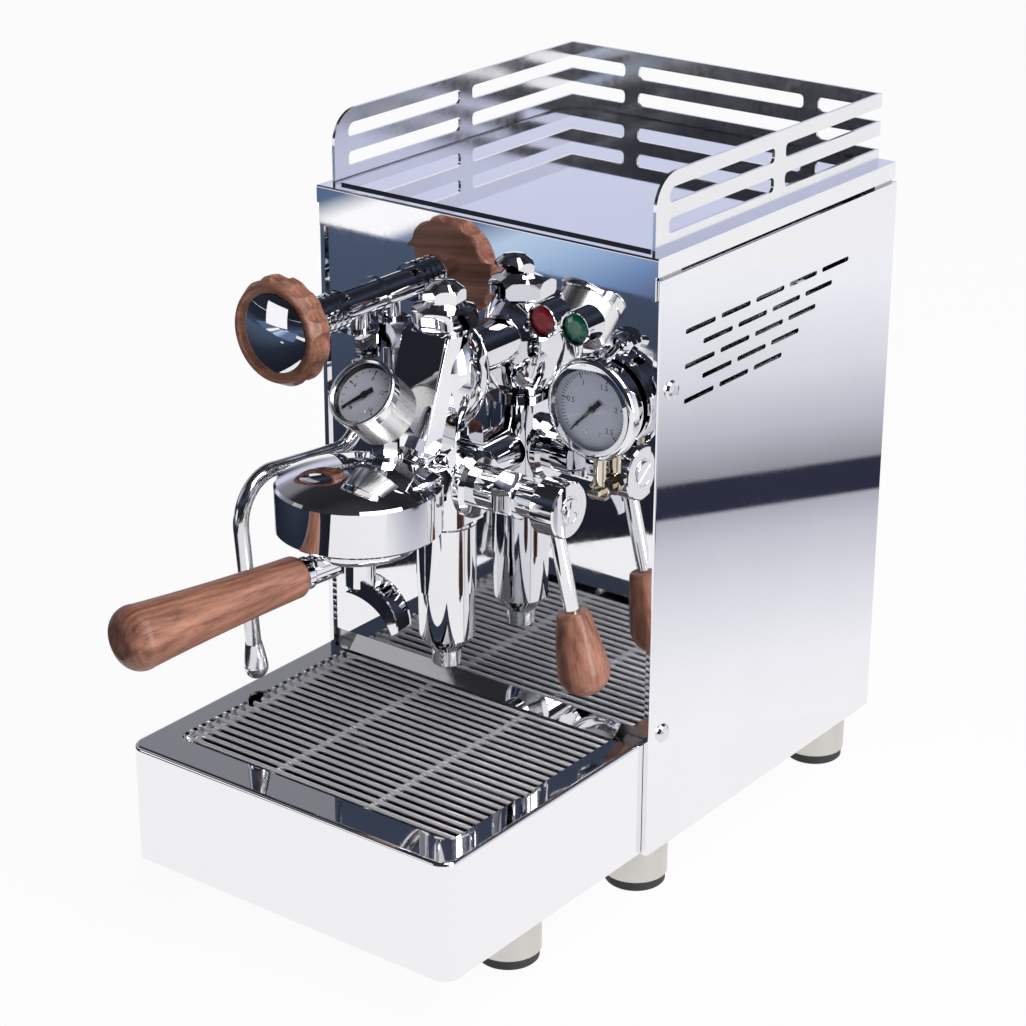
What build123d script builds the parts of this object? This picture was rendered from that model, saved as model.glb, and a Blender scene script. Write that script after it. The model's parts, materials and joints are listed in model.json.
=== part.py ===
from build123d import *

import os
from math import cos, radians, sin, sqrt, tan

# All lengths are millimetres.
# X runs to the machine's right, Y to its rear and Z up from the table.
# While the pieces are made, Y = 0 is the front of the side panels. The finished
# set is then moved so that Y = 0 lies halfway between handle and rear.

# Case
CASE_WIDTH = 250.0
CASE_DEPTH = 261.0
SIDE_HEIGHT = 362.3
SIDE_SHEET = 2.0
STRIP_WIDTH = 4.0
STRIP_BEND = 1.2
PANEL_SHEET = 1.5
BASE_SHEET = 2.0
BASE_UPSTAND = 25.0
POST_SIZE = 10.0
FIT_GAP = 0.3

# Feet
FOOT_HEIGHT = 35.0
FOOT_RADIUS = 20.0
PAD_HEIGHT = 6.0
PAD_INSET = 1.2
FOOT_EDGE = 1.0
REAR_FOOT_SIDE = 26.0
MIDDLE_FOOT_Y = 26.0
REAR_FOOT_INSET = 24.0
FRONT_FOOT_SIDE = 33.5
FRONT_FOOT_Y = -94.0

# Side panel vents and screws
VENT_LENGTH = 31.0
VENT_HEIGHT = 3.0
VENT_PITCH = 37.0
VENT_COUNTS = (5, 4, 4, 3, 3)
VENT_FIRST_Y = 42.0
VENT_STAGGER = 18.5
VENT_TOP_DROP = 36.3
VENT_ROW_PITCH = 10.5
SCREW_Y = 13.5
SCREW_HEIGHTS = (113.0, 330.0)
SCREW_HEAD_RADIUS = 6.0
SCREW_HEAD_HEIGHT = 2.6
SCREW_SHANK_RADIUS = 2.9
SCREW_REACH = 9.0

# Top cover, cup tray and cup rail
COVER_RISE = 13.1
COVER_SHEET = 1.5
COVER_INSET = 0.5
COVER_GAP = 2.5
COVER_NOSE = 2.0
COVER_BAND = 24.7
COVER_REAR_INSET = 2.0
BAND_INSET = 1.7
RAIL_INSET = 7.5
RAIL_FRONT = 5.0
RAIL_REAR_INSET = 11.5
RAIL_SHEET = 2.0
RAIL_BAR = 8.8
RAIL_NOSE_RADIUS = 20.0
RAIL_NOSE_BAR = 13.0
RAIL_SIDE_WEB_Y = 133.0
RAIL_SIDE_WEB = 12.0
RAIL_REAR_WEB_X = 68.0
RAIL_REAR_WEB = 10.5
RAIL_SLOT_CORNER = 3.0
CUP_TRAY_GAP = 2.5
CUP_TRAY_SHEET = 1.5
CUP_TRAY_LIP = 6.0
HATCH_MARGIN = 9.0

# Front panel and drip flap
FLAP_ROOT = 117.5
FLAP_HALF = 103.0
FLAP_OUT = 8.0
FLAP_DROP = 8.0
PANEL_TOP_GAP = 2.0

# Drip tray and grate
TRAY_FRONT = 187.4
TRAY_HALF = 120.7
TRAY_TOP = 110.8
TRAY_SKIRT_GAP = 1.0
TRAY_SHEET = 1.5
TRAY_CORNER = 10.0
TRAY_TOP_EDGE = 2.5
TRAY_REAR_GAP = 0.5
RIM_SIDE = 17.0
RIM_FRONT = 24.0
RIM_CORNER = 8.0
LEDGE = 4.0
LEDGE_DROP = 8.8
TRAY_REAR_WALL = 102.0
NOTCH_Y = -92.0
NOTCH_RADIUS = 11.0
NOTCH_DEPTH = 4.0
SHELF_INSET = 9.0
WIRE_RADIUS = 1.5
WIRE_COUNT = 21
WIRE_PITCH = 7.33
WIRE_FIRST_Y = -155.2
WIRE_END_GAP = 1.5
CARRIER_RADIUS = 2.0
CARRIER_XS = (-101.0, -36.0, 36.0, 101.0)

# Power inlet on the rear panel
INLET_X = 62.0
INLET_Z = 92.0
INLET_FLANGE = (50.0, 30.0)
INLET_FLANGE_THICK = 2.5
INLET_MOUTH = (24.5, 17.0)
INLET_WALL = 2.0
INLET_DEPTH = 18.0
PIN_SIZE = (4.0, 2.0)
PIN_LENGTH = 9.0
PIN_PITCH = 7.0

# Brew group casting, its heights counted from the bell's bottom
BELL_Y = -114.0
BELL_RADIUS = 48.0
BELL_BOTTOM = 256.0
BELL_WALL = 27.0
BELL_DOME = 10.0
BELL_EDGE = 1.5
VALVE_Y = -35.0
NECK_RISE = 99.0
NECK_TOP_FLAT = 16.5
NECK_TOP_FRONT = -51.5
NECK_TOP_HALF = 19.5
NECK_TOP_CHEEK = -43.5
NECK_TOP_REAR = -34.0
NECK_FOOT_RISE = 34.0
NECK_FOOT_FLAT = 15.5
NECK_FOOT_FRONT = -75.5
NECK_FOOT_HALF = 18.5
NECK_FOOT_CHEEK = -64.0
NECK_FOOT_REAR = -50.0
LOBE_Y = -72.5
LOBE_RADIUS = 15.0
LOBE_RISE = 25.0
CROSS_Y = -66.0
CROSS_RISE = 17.0
CROSS_RADIUS = 10.0
CROSS_HALF = 19.0
BULGE_RADIUS = 26.0
BULGE_FOOT_RADIUS = 14.0
BULGE_TOP_RADIUS = 17.0
BULGE_FOOT_RISE = 40.0
CAM_RADIUS = 22.0
CAM_DROP = 19.0
CAM_RISE = 37.0
BRIDGE_HALF = 14.0
BOSS_Y = -89.0
BOSS_RADIUS = 9.5
BOSS_RISE = 38.5
UPPER_DUCT_RISE = 77.0
DUCT_RADIUS = 15.0
SPIGOT_RADIUS = 11.0
SPIGOT_REACH = 24.0

# Bayonet inside the bell
LIP_BORE = 38.0
LIP_HEIGHT = 4.0
GROOVE_RADIUS = 43.0
GROOVE_HEIGHT = 9.5
SEAL_BORE = 35.8
SEAL_HEIGHT = 6.0
SEAL_WIDTH = 6.5
SCREEN_DROP = 4.0
LUG_ARC = 38.0
LUG_HEIGHT = 4.5
LUG_GAP = 0.5
ENTRY_TURN = 48.0
ENTRY_PLAY = 4.0

# Nuts on top of the neck
COLLAR_SEAT_RADIUS = 13.5
COLLAR_SEAT = 2.0
COLLAR_NUT_FLATS = 35.0
COLLAR_NUT_HEIGHT = 14.0
COLLAR_NUT_CROWN = 5.0
COLLAR_NUT_TURN = 22.0
CAP_RING_RADIUS = 13.0
CAP_RING_HEIGHT = 2.5
CAP_FLATS = 21.5
CAP_HEIGHT = 7.0
CAP_DOME = 5.0
CAP_TURN = -19.0

# Discharge chamber under the valve
CHAMBER_RADIUS = 18.0
CHAMBER_HEIGHT = 45.0
CHAMBER_RING = 0.8
NOZZLE_RADIUS = 17.0
NOZZLE_HEIGHT = 30.5
NOZZLE_TAPER = 9.5
NOZZLE_NECK_RADIUS = 9.0
NOZZLE_NECK_HEIGHT = 10.0
NOZZLE_BORE = 3.0

# Brew lever
LEVER_RISE = 7.0
LEVER_BOSS = 18.0
LEVER_COLLAR = 9.0
LEVER_COLLAR_RADIUS = 20.0
LEVER_COLLAR_EDGE = 2.5
GLAND_SLEEVE = 16.0
GLAND_SLEEVE_RADIUS = 13.0
GLAND_NUT = 14.0
GLAND_NUT_FLATS = 25.0
GLAND_NECK = 15.7
GLAND_NECK_RADIUS = 10.7
SHAFT_RADIUS = 6.0
RUNNING_FIT = 0.05
SHAFT_START = 4.0
HUB_LENGTH = 17.0
HUB_RADIUS = 17.0
HUB_EDGE = 1.0
HUB_BORE_FLOOR = 6.0
ARM_RADIUS = 4.6
ARM_INSET = 13.0
ARM_LEAN = 15.5
ARM_END_DROP = 62.0
KNOB_LENGTH = 51.0
KNOB_TOP_RADIUS = 9.6
KNOB_BELLY_RADIUS = 15.5
KNOB_BELLY = 36.0
KNOB_END_RADIUS = 3.0

# Group gauge
GROUP_GAUGE_Y = -110.0
GROUP_GAUGE_RISE = 80.5
GROUP_GAUGE_TILT = 42.0
GROUP_GAUGE_RADIUS = 20.8
GROUP_GAUGE_BODY = 19.8
GROUP_GAUGE_DEPTH = 29.0
GROUP_GAUGE_BEZEL = 7.0
GROUP_GAUGE_RIM = 2.2
GROUP_GAUGE_ROUND = 1.0
STEM_RADIUS = 5.0
STEM_NUT_FLATS = 14.0
STEM_NUT_HEIGHT = 8.0

# Boiler gauge, counted from the right side and the top of the cover
BOILER_GAUGE_INSET = 35.5
BOILER_GAUGE_DROP = 92.3
BOILER_GAUGE_RADIUS = 30.5
BOILER_GAUGE_BODY = 27.0
BOILER_GAUGE_DEPTH = 16.5
BOILER_GAUGE_BEZEL = 7.0
BOILER_GAUGE_RIM = 6.5
BOILER_GAUGE_ROUND = 3.6
BOILER_GAUGE_GAP = 2.5
FITTING_DROP = 51.3
FITTING_RADIUS = 4.2
FITTING_FRONT = 7.0
FITTING_NUT_FLATS = 13.0
FITTING_NUT = 5.0
FITTING_NUT_GAP = 3.0
FITTING_TAIL = 18.0
FITTING_STEM_RADIUS = 3.8

# What both gauges share
GAUGE_WALL = 1.2
LENS_THICK = 1.0
NEEDLE_THICK = 0.6
NEEDLE_LIFT = 1.2
NEEDLE_HUB_RADIUS = 2.2
NEEDLE_ARBOR_RADIUS = 0.9
NEEDLE_ARBOR = 1.5
NEEDLE_WIDTH = 1.6
NEEDLE_TAIL = 0.4
NEEDLE_GAP = 0.3
NEEDLE_ZERO = 225.0

# Portafilter, its heights counted down from the bell's bottom
HANDLE_TURN = -12.0
HANDLE_DROOP = 3.0
HANDLE_DROP = 15.0
RIM_CLEARANCE = 0.3
BASKET_LIP = 1.5
BASKET_LIP_INSET = 1.0
BOWL_RADIUS = 35.0
BOWL_WAIST_DROP = 4.0
BOWL_FOOT_RADIUS = 28.0
BOWL_DROP = 12.0
BOWL_FLOOR = 2.0
BASKET_RADIUS = 30.0
BASKET_WALL = 1.0
BASKET_DROP = 9.0
BASKET_FIT = 0.3
DRAIN_RADIUS = 6.0
NECK_ROD_RADIUS = 8.4
NECK_ROD_START = 20.0
FERRULE_START = 36.5
FERRULE_RADIUS = 9.6
FERRULE_CONE = 1.5
WOOD_START = 42.0
WOOD_LENGTH = 121.5
WOOD_FACE_RADIUS = 9.0
WOOD_START_RADIUS = 12.2
WOOD_SHOULDER = 6.0
WOOD_MID_RADIUS = 14.4
WOOD_END_RADIUS = 18.2
WOOD_FLAT_RADIUS = 9.0
WOOD_ROUNDING = 15.0

# Spout
TRUNK_RADIUS = 9.0
TRUNK_LENGTH = 26.5
TRUNK_RING = 1.0
TRUNK_RING_HEIGHT = 4.0
TRUNK_ROUNDING = 4.0
SPOUT_TURN = 6.0
SPOUT_WIDTH = 15.0
SPOUT_WALL = 1.5
SPOUT_REACH = 29.5
SPOUT_DROP = 20.0
SPOUT_ROOT_RISE = 9.0

# Steam valve, knob and wand, placed from the left side and the top of the cover
STEAM_INSET = 41.0
STEAM_DROP = 62.9
STEAM_BODY_RADIUS = 9.0
STEAM_BODY_END = -32.0
STEAM_TAIL = 20.0
STEAM_FLANGE_RADIUS = 12.0
STEAM_FLANGE = 2.0
BONNET_END = -56.0
BONNET_RADIUS = 12.0
BONNET_GROOVE = 1.6
BONNET_RIBS = 4
SPINDLE_RADIUS = 5.0
KNOB_BACK = -74.0
KNOB_THICK = 16.0
KNOB_RADIUS = 33.0
KNOB_SCALLOPS = 12
SCALLOP_RADIUS = 8.0
SCALLOP_DEPTH = 2.9
KNOB_ROUNDING = 4.0
KNOB_BEVEL = 7.0
BEAD_RADIUS = 28.3
BEAD_HALF = 1.7
BEAD_HEIGHT = 1.2
KNOB_RECESS = 2.5
KNOB_POCKET = 2.5
CAP_RADIUS = 23.5
CAP_RIM = 0.5
CAP_CROWN = 4.0
CAP_FLAT_RADIUS = 1.5
OUTLET_Y = -12.5
OUTLET_RADIUS = 7.0
WAND_NUT_FLATS = 24.0
WAND_NUT_DROP = 17.0
WAND_NUT_HEIGHT = 16.0
WAND_BALL_RADIUS = 7.2
WAND_RADIUS = 4.8
WAND_WALL = 1.4
WAND_REAR_DROP = 65.5
WAND_FRONT_DROP = 54.5
WAND_FORWARD = -125.0
WAND_UPPER_BEND = 22.0
WAND_LOWER_BEND = 27.0
WAND_END_Y = -115.0
WAND_END_DROP = 162.0
WAND_TIP_LENGTH = 23.5
WAND_TIP_RADIUS = 7.3
WAND_TIP_NECK = 0.4
WAND_HOLE_FACE = 2.5

# Lamps and switch, counted from the right side and the top of the cover
LAMP_DROP = 49.9
RED_LAMP_INSET = 77.5
GREEN_LAMP_INSET = 54.0
LAMP_RADIUS = 10.5
LAMP_WALL = 1.4
LAMP_REACH = 8.0
LAMP_EDGE = 0.6
LAMP_FLOOR = 2.0
LAMP_SHANK_RADIUS = 6.5
LAMP_SHANK = 14.0
LENS_SIDES = 10
LENS_TABLE = 5.0
LENS_CROWN = 2.0
SWITCH_INSET = 24.0
SWITCH_DROP = 52.9
SWITCH_NUT_FLATS = 14.0
SWITCH_NUT = 4.5
SWITCH_BUSH_RADIUS = 5.8
SWITCH_BUSH_REACH = 7.5
SWITCH_BORE = 4.0
SWITCH_TAIL = 16.0
SWITCH_PIVOT = 4.0
BAT_LENGTH = 17.5
BAT_ROOT_RADIUS = 1.9
BAT_TIP_RADIUS = 3.0
BAT_TIP_ROUND = 2.0
BAT_BALL_RADIUS = 3.6
BAT_REST = 19.0

# Inside the case
BOILER_RADIUS = 58.0
BOILER_LENGTH = 170.0
BOILER_WALL = 2.5
BOILER_ROUNDING = 10.0
BOILER_PORT_RADIUS = 26.0
BOILER_Y = 96.0
BOILER_Z = 262.0
BOILER_LEG = 12.0
BOILER_LEG_X = 17.0
BOILER_LEG_DEPTH = 70.0
HEATER_FLANGE_RADIUS = 34.0
HEATER_FLANGE = 5.0
HEATER_STUD_RADIUS = 3.0
HEATER_STUD = 16.0
HEATER_STUD_X = 14.0
TANK_HALF = 100.0
TANK_FRONT_GAP = 4.0
TANK_REAR_GAP = 23.0
TANK_HEIGHT = 330.0
TANK_WALL = 2.5
TANK_CORNER = 12.0
PUMP_INSET = 53.0
PUMP_Y = 85.0
PUMP_RADIUS = 22.0
PUMP_LENGTH = 110.0
PUMP_FOOT = 50.0
PUMP_FOOT_HEIGHT = 12.0
PUMP_SINK = 2.0
BOX_INSET = 59.0
BOX_Y = 85.0
BOX_SIZE = (80.0, 110.0, 70.0)
BOX_CORNER = 4.0

# Places that follow from the sizes above
HALF = CASE_WIDTH / 2
CASE_TOP = FOOT_HEIGHT + SIDE_HEIGHT
REAR_FOOT_X = HALF - REAR_FOOT_SIDE
REAR_FOOT_YS = (MIDDLE_FOOT_Y, CASE_DEPTH - REAR_FOOT_INSET)
FRONT_FOOT_X = HALF - FRONT_FOOT_SIDE
COVER_TOP = CASE_TOP + COVER_RISE
PANEL_FACE = SIDE_SHEET
PANEL_BACK = PANEL_FACE + PANEL_SHEET
BASE_TOP = FOOT_HEIGHT + BASE_SHEET
INNER_HALF = HALF - SIDE_SHEET
INNER_REAR = CASE_DEPTH - SIDE_SHEET
RAIL_HALF = HALF - RAIL_INSET
RAIL_REAR = CASE_DEPTH - RAIL_REAR_INSET
RAIL_HEIGHT = 5 * RAIL_BAR
CUP_TRAY_HALF = RAIL_HALF - RAIL_SHEET - CUP_TRAY_GAP
CUP_TRAY_FRONT = RAIL_FRONT + CUP_TRAY_GAP
CUP_TRAY_REAR = RAIL_REAR - RAIL_SHEET - CUP_TRAY_GAP
OPEN_HALF = TRAY_HALF - RIM_SIDE
OPEN_FRONT = -TRAY_FRONT + RIM_FRONT
LEDGE_TOP = TRAY_TOP - LEDGE_DROP
TRAY_REAR = PANEL_BACK - TRAY_REAR_GAP
BELL_SHOULDER = BELL_BOTTOM + BELL_WALL
LIP_TOP = BELL_BOTTOM + LIP_HEIGHT
GROOVE_TOP = LIP_TOP + GROOVE_HEIGHT
GASKET_TOP = GROOVE_TOP + SEAL_HEIGHT
PORTAFILTER_TOP = GROOVE_TOP - RIM_CLEARANCE
BOWL_BOTTOM = BELL_BOTTOM - BOWL_DROP
NECK_TOP = BELL_BOTTOM + NECK_RISE
CAM_BOTTOM = BELL_BOTTOM - CAM_DROP
CAM_TOP = BELL_BOTTOM + CAM_RISE
CHAMBER_BOTTOM = CAM_BOTTOM - CHAMBER_HEIGHT
BOSS_TOP = BELL_BOTTOM + BOSS_RISE
UPPER_DUCT_Z = BELL_BOTTOM + UPPER_DUCT_RISE
LEVER_Z = BELL_BOTTOM + LEVER_RISE
COLLAR_END = LEVER_BOSS + LEVER_COLLAR
GLAND_END = COLLAR_END + GLAND_SLEEVE + GLAND_NUT + GLAND_NECK
HUB_START = GLAND_END + FIT_GAP
HUB_END = HUB_START + HUB_LENGTH
ARM_X = HUB_END - ARM_INSET
GROUP_GAUGE_Z = BELL_BOTTOM + GROUP_GAUGE_RISE
BOILER_GAUGE_X = HALF - BOILER_GAUGE_INSET
BOILER_GAUGE_Z = COVER_TOP - BOILER_GAUGE_DROP
FITTING_Z = BOILER_GAUGE_Z - FITTING_DROP
STEAM_X = STEAM_INSET - HALF
STEAM_Z = COVER_TOP - STEAM_DROP
KNOB_FRONT = KNOB_THICK - KNOB_BACK
WAND_NUT_TOP = STEAM_Z - WAND_NUT_DROP
WAND_NUT_BOTTOM = WAND_NUT_TOP - WAND_NUT_HEIGHT
WAND_BALL_Z = (WAND_NUT_TOP + WAND_NUT_BOTTOM) / 2
WAND_REAR_Z = WAND_BALL_Z - WAND_REAR_DROP
WAND_FRONT_Z = WAND_BALL_Z - WAND_FRONT_DROP
WAND_END_Z = WAND_BALL_Z - WAND_END_DROP
LAMP_Z = COVER_TOP - LAMP_DROP
RED_LAMP_X = HALF - RED_LAMP_INSET
GREEN_LAMP_X = HALF - GREEN_LAMP_INSET
SWITCH_X = HALF - SWITCH_INSET
PUMP_X = PUMP_INSET - HALF
BOX_X = HALF - BOX_INSET
SWITCH_Z = COVER_TOP - SWITCH_DROP
ACROSS = 1 / cos(radians(30))

GROUP_GAUGE = {
    "radius": GROUP_GAUGE_RADIUS,
    "body": GROUP_GAUGE_BODY,
    "depth": GROUP_GAUGE_DEPTH,
    "bezel": GROUP_GAUGE_BEZEL,
    "rim": GROUP_GAUGE_RIM,
    "round": GROUP_GAUGE_ROUND,
}
BOILER_GAUGE = {
    "radius": BOILER_GAUGE_RADIUS,
    "body": BOILER_GAUGE_BODY,
    "depth": BOILER_GAUGE_DEPTH,
    "bezel": BOILER_GAUGE_BEZEL,
    "rim": BOILER_GAUGE_RIM,
    "round": BOILER_GAUGE_ROUND,
}

FORWARD = Rot(90, 0, 0)
RIGHTWARD = Rot(0, 90, 0)


def turned(*outline):
    """Solid turned about Z from points given as (radius, height)."""
    points = [(radius, 0, height) for radius, height in outline]
    return revolve(make_face(Polyline(*points, close=True)), Axis.Z)


def rod(radius, bottom, top):
    """Round bar about Z between two heights."""
    return Pos(0, 0, bottom) * extrude(Circle(radius), top - bottom)


def hex_bar(flats, bottom, top):
    """Hexagonal bar about Z, its size given across the flats."""
    return Pos(0, 0, bottom) * extrude(RegularPolygon(flats / 2 * ACROSS, 6), top - bottom)


def hex_nut(flats, bottom, top):
    """Hexagonal bar whose corners are turned down at both ends."""
    corner = flats / 2 * ACROSS
    bevel = corner - flats / 2
    outline = (0, bottom), (flats / 2, bottom), (corner, bottom + bevel * 0.6)
    outline += (corner, top - bevel * 0.6), (flats / 2, top), (0, top)
    return hex_bar(flats, bottom, top) & turned(*outline)


def block(low, high):
    """Box between two corners."""
    size = [b - a for a, b in zip(low, high)]
    middle = [(a + b) / 2 for a, b in zip(low, high)]
    return Pos(*middle) * Box(*size)


def neck_section(flat, front, half, cheek, rear, z):
    """Level section of the neck: a flat front, steep chamfers and upright cheeks."""
    right = (flat, front), (half, cheek), (half, rear)
    left = (-half, rear), (-half, cheek), (-flat, front)
    return Pos(0, 0, z) * make_face(Polyline(*right, *left, close=True))


def on_panel(x, z):
    """Place on the front panel's face, with local Z pointing at the user."""
    return Pos(x, PANEL_FACE, z) * FORWARD


def vent_places():
    """Middle of every vent slot, as (y, z)."""
    top = CASE_TOP - VENT_TOP_DROP
    for row, count in enumerate(VENT_COUNTS):
        first = VENT_FIRST_Y + VENT_STAGGER * (row % 2)
        for column in range(count):
            yield first + VENT_PITCH * column, top - VENT_ROW_PITCH * row


def side_panel_right():
    outline = Polyline(
        (HALF - STRIP_WIDTH, 0),
        (HALF, 0),
        (HALF, CASE_DEPTH),
        (INNER_HALF, CASE_DEPTH),
        (INNER_HALF, SIDE_SHEET),
        (HALF - STRIP_WIDTH, SIDE_SHEET),
        close=True,
    )
    panel = Pos(0, 0, FOOT_HEIGHT) * extrude(make_face(outline), SIDE_HEIGHT)
    corner = panel.edges().filter_by(Axis.Z).group_by(Axis.X)[-1].sort_by(Axis.Y)[0]
    panel = fillet(corner, STRIP_BEND)
    cuts = Sketch() + [Pos(y, z) * SlotOverall(VENT_LENGTH, VENT_HEIGHT) for y, z in vent_places()]
    cuts += [Pos(SCREW_Y, z) * Circle(SCREW_SHANK_RADIUS + FIT_GAP) for z in SCREW_HEIGHTS]
    return panel - Pos(INNER_HALF, 0, 0) * extrude(Plane.YZ * cuts, SIDE_SHEET)


def base_frame():
    low = FOOT_HEIGHT
    floor = block((-INNER_HALF, PANEL_BACK, low), (INNER_HALF, INNER_REAR, BASE_TOP))
    shelf_half = TRAY_HALF - SHELF_INSET
    shelf = block((-shelf_half, -TRAY_FRONT + SHELF_INSET, low), (shelf_half, PANEL_BACK, BASE_TOP))
    riser = block((-INNER_HALF, PANEL_BACK, low), (INNER_HALF, PANEL_BACK + BASE_SHEET, FLAP_ROOT))
    upstand = low + BASE_UPSTAND
    rear = block((-INNER_HALF, INNER_REAR - BASE_SHEET, low), (INNER_HALF, INNER_REAR, upstand))
    frame = floor + shelf + riser + rear
    post_top = COVER_TOP - COVER_SHEET
    for side in (-1, 1):
        wall = sorted((side * INNER_HALF, side * (INNER_HALF - BASE_SHEET)))
        frame += block((wall[0], PANEL_BACK, low), (wall[1], INNER_REAR, upstand))
        post = sorted((side * INNER_HALF, side * (INNER_HALF - POST_SIZE)))
        for y in (PANEL_BACK, INNER_REAR - BASE_SHEET - 2 * POST_SIZE):
            frame += block((post[0], y, low), (post[1], y + 2 * POST_SIZE, post_top))
        for z in SCREW_HEIGHTS:
            hole = rod(SCREW_SHANK_RADIUS + FIT_GAP, INNER_HALF - POST_SIZE, INNER_HALF)
            frame -= Pos(0, SCREW_Y, z) * Rot(0, 90 * side, 0) * hole
    return frame


def panel_screws():
    head = turned(
        (0, SCREW_SHANK_RADIUS - SCREW_REACH),
        (SCREW_SHANK_RADIUS, SCREW_SHANK_RADIUS - SCREW_REACH),
        (SCREW_SHANK_RADIUS, 0),
        (SCREW_HEAD_RADIUS, 0),
        (SCREW_HEAD_RADIUS * 0.85, SCREW_HEAD_HEIGHT * 0.7),
        (SCREW_HEAD_RADIUS * 0.5, SCREW_HEAD_HEIGHT),
        (0, SCREW_HEAD_HEIGHT),
    )
    return [
        Pos(side * HALF, SCREW_Y, z) * Rot(0, 90 * side, 0) * head
        for side in (-1, 1)
        for z in SCREW_HEIGHTS
    ]


def foot_places():
    """Middle of every foot, as (x, y)."""
    for side in (-1, 1):
        yield side * FRONT_FOOT_X, FRONT_FOOT_Y
        for y in REAR_FOOT_YS:
            yield side * REAR_FOOT_X, y


def foot_sleeves():
    sleeve = chamfer(rod(FOOT_RADIUS, PAD_HEIGHT, FOOT_HEIGHT).edges().group_by(Axis.Z)[0], FOOT_EDGE)
    return [Pos(x, y, 0) * sleeve for x, y in foot_places()]


def foot_pads():
    pad = chamfer(rod(FOOT_RADIUS - PAD_INSET, 0, PAD_HEIGHT).edges().group_by(Axis.Z)[0], FOOT_EDGE)
    return [Pos(x, y, 0) * pad for x, y in foot_places()]


def rear_panel():
    half = INNER_HALF - FIT_GAP
    plate = block((-half, INNER_REAR, FOOT_HEIGHT), (half, CASE_DEPTH, CASE_TOP))
    width, height = (side + 2 * INLET_WALL + 2 * FIT_GAP for side in INLET_MOUTH)
    hole = Pos(INLET_X, INNER_REAR, INLET_Z) * Box(width, 4 * SIDE_SHEET, height)
    return plate - hole


def power_inlet():
    width, height = INLET_MOUTH
    flange = extrude(RectangleRounded(*INLET_FLANGE, 4), INLET_FLANGE_THICK)
    shell_size = width + 2 * INLET_WALL, height + 2 * INLET_WALL
    shell = extrude(Rectangle(*shell_size), -INLET_DEPTH)
    mouth = extrude(Rectangle(width, height), INLET_DEPTH + INLET_FLANGE_THICK - INLET_WALL)
    inlet = flange + shell - Pos(0, 0, INLET_WALL - INLET_DEPTH) * mouth
    for column, row in ((-1, -0.3), (0, 0.3), (1, -0.3)):
        pin = extrude(Rectangle(*reversed(PIN_SIZE)), PIN_LENGTH)
        inlet += Pos(column * PIN_PITCH, row * PIN_PITCH, INLET_WALL - INLET_DEPTH) * pin
    return Pos(INLET_X, CASE_DEPTH, INLET_Z) * Rot(-90, 0, 0) * inlet


def top_cover():
    half = HALF - COVER_INSET
    rear = CASE_DEPTH - COVER_REAR_INSET
    skirt = CASE_TOP + COVER_GAP
    shell = block((-half, -COVER_NOSE, skirt), (half, rear, COVER_TOP))
    shell -= block(
        (COVER_SHEET - half, COVER_SHEET - COVER_NOSE, skirt),
        (half - COVER_SHEET, rear - COVER_SHEET, COVER_TOP - COVER_SHEET),
    )
    band_half = half - BAND_INSET
    band_low = COVER_TOP - COVER_BAND
    shell += block((-band_half, -COVER_NOSE, band_low), (band_half, COVER_SHEET - COVER_NOSE, skirt))
    edge = shell.edges().filter_by(Axis.X).group_by(Axis.Z)[-1].sort_by(Axis.Y)[0]
    shell = fillet(edge, COVER_SHEET * 0.8)
    hatch_half = CUP_TRAY_HALF - HATCH_MARGIN
    return shell - block(
        (-hatch_half, CUP_TRAY_FRONT + HATCH_MARGIN, skirt),
        (hatch_half, CUP_TRAY_REAR - HATCH_MARGIN, COVER_TOP),
    )


def cup_tray():
    plate = block(
        (-CUP_TRAY_HALF, CUP_TRAY_FRONT, COVER_TOP),
        (CUP_TRAY_HALF, CUP_TRAY_REAR, COVER_TOP + CUP_TRAY_SHEET),
    )
    inset = HATCH_MARGIN + FIT_GAP
    half = CUP_TRAY_HALF - inset
    lip_low = COVER_TOP - CUP_TRAY_LIP
    front = CUP_TRAY_FRONT + inset
    rear = CUP_TRAY_REAR - inset
    lip = block((-half, front, lip_low), (half, rear, COVER_TOP))
    inner_low = -half + CUP_TRAY_SHEET, front + CUP_TRAY_SHEET, lip_low
    inner_high = half - CUP_TRAY_SHEET, rear - CUP_TRAY_SHEET, COVER_TOP
    return plate + (lip - block(inner_low, inner_high))


def rail_slot(start, end, row, nose=RAIL_SLOT_CORNER):
    """One slot of the rail on a wall laid flat, its upper front corner rounded more if asked."""
    low = RAIL_BAR * (2 * row + 1)
    outline = Polyline((start, low), (end, low), (end, low + RAIL_BAR), (start, low + RAIL_BAR), close=True)
    slot = make_face(outline)
    corners = slot.vertices()
    front_top = corners.group_by(Axis.X)[0].sort_by(Axis.Y)[-1]
    others = [corner for corner in corners if corner != front_top]
    slot = fillet(others, RAIL_SLOT_CORNER)
    front_top = slot.vertices().group_by(Axis.Y)[-1].sort_by(Axis.X)[0]
    return fillet(front_top, nose)


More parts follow.
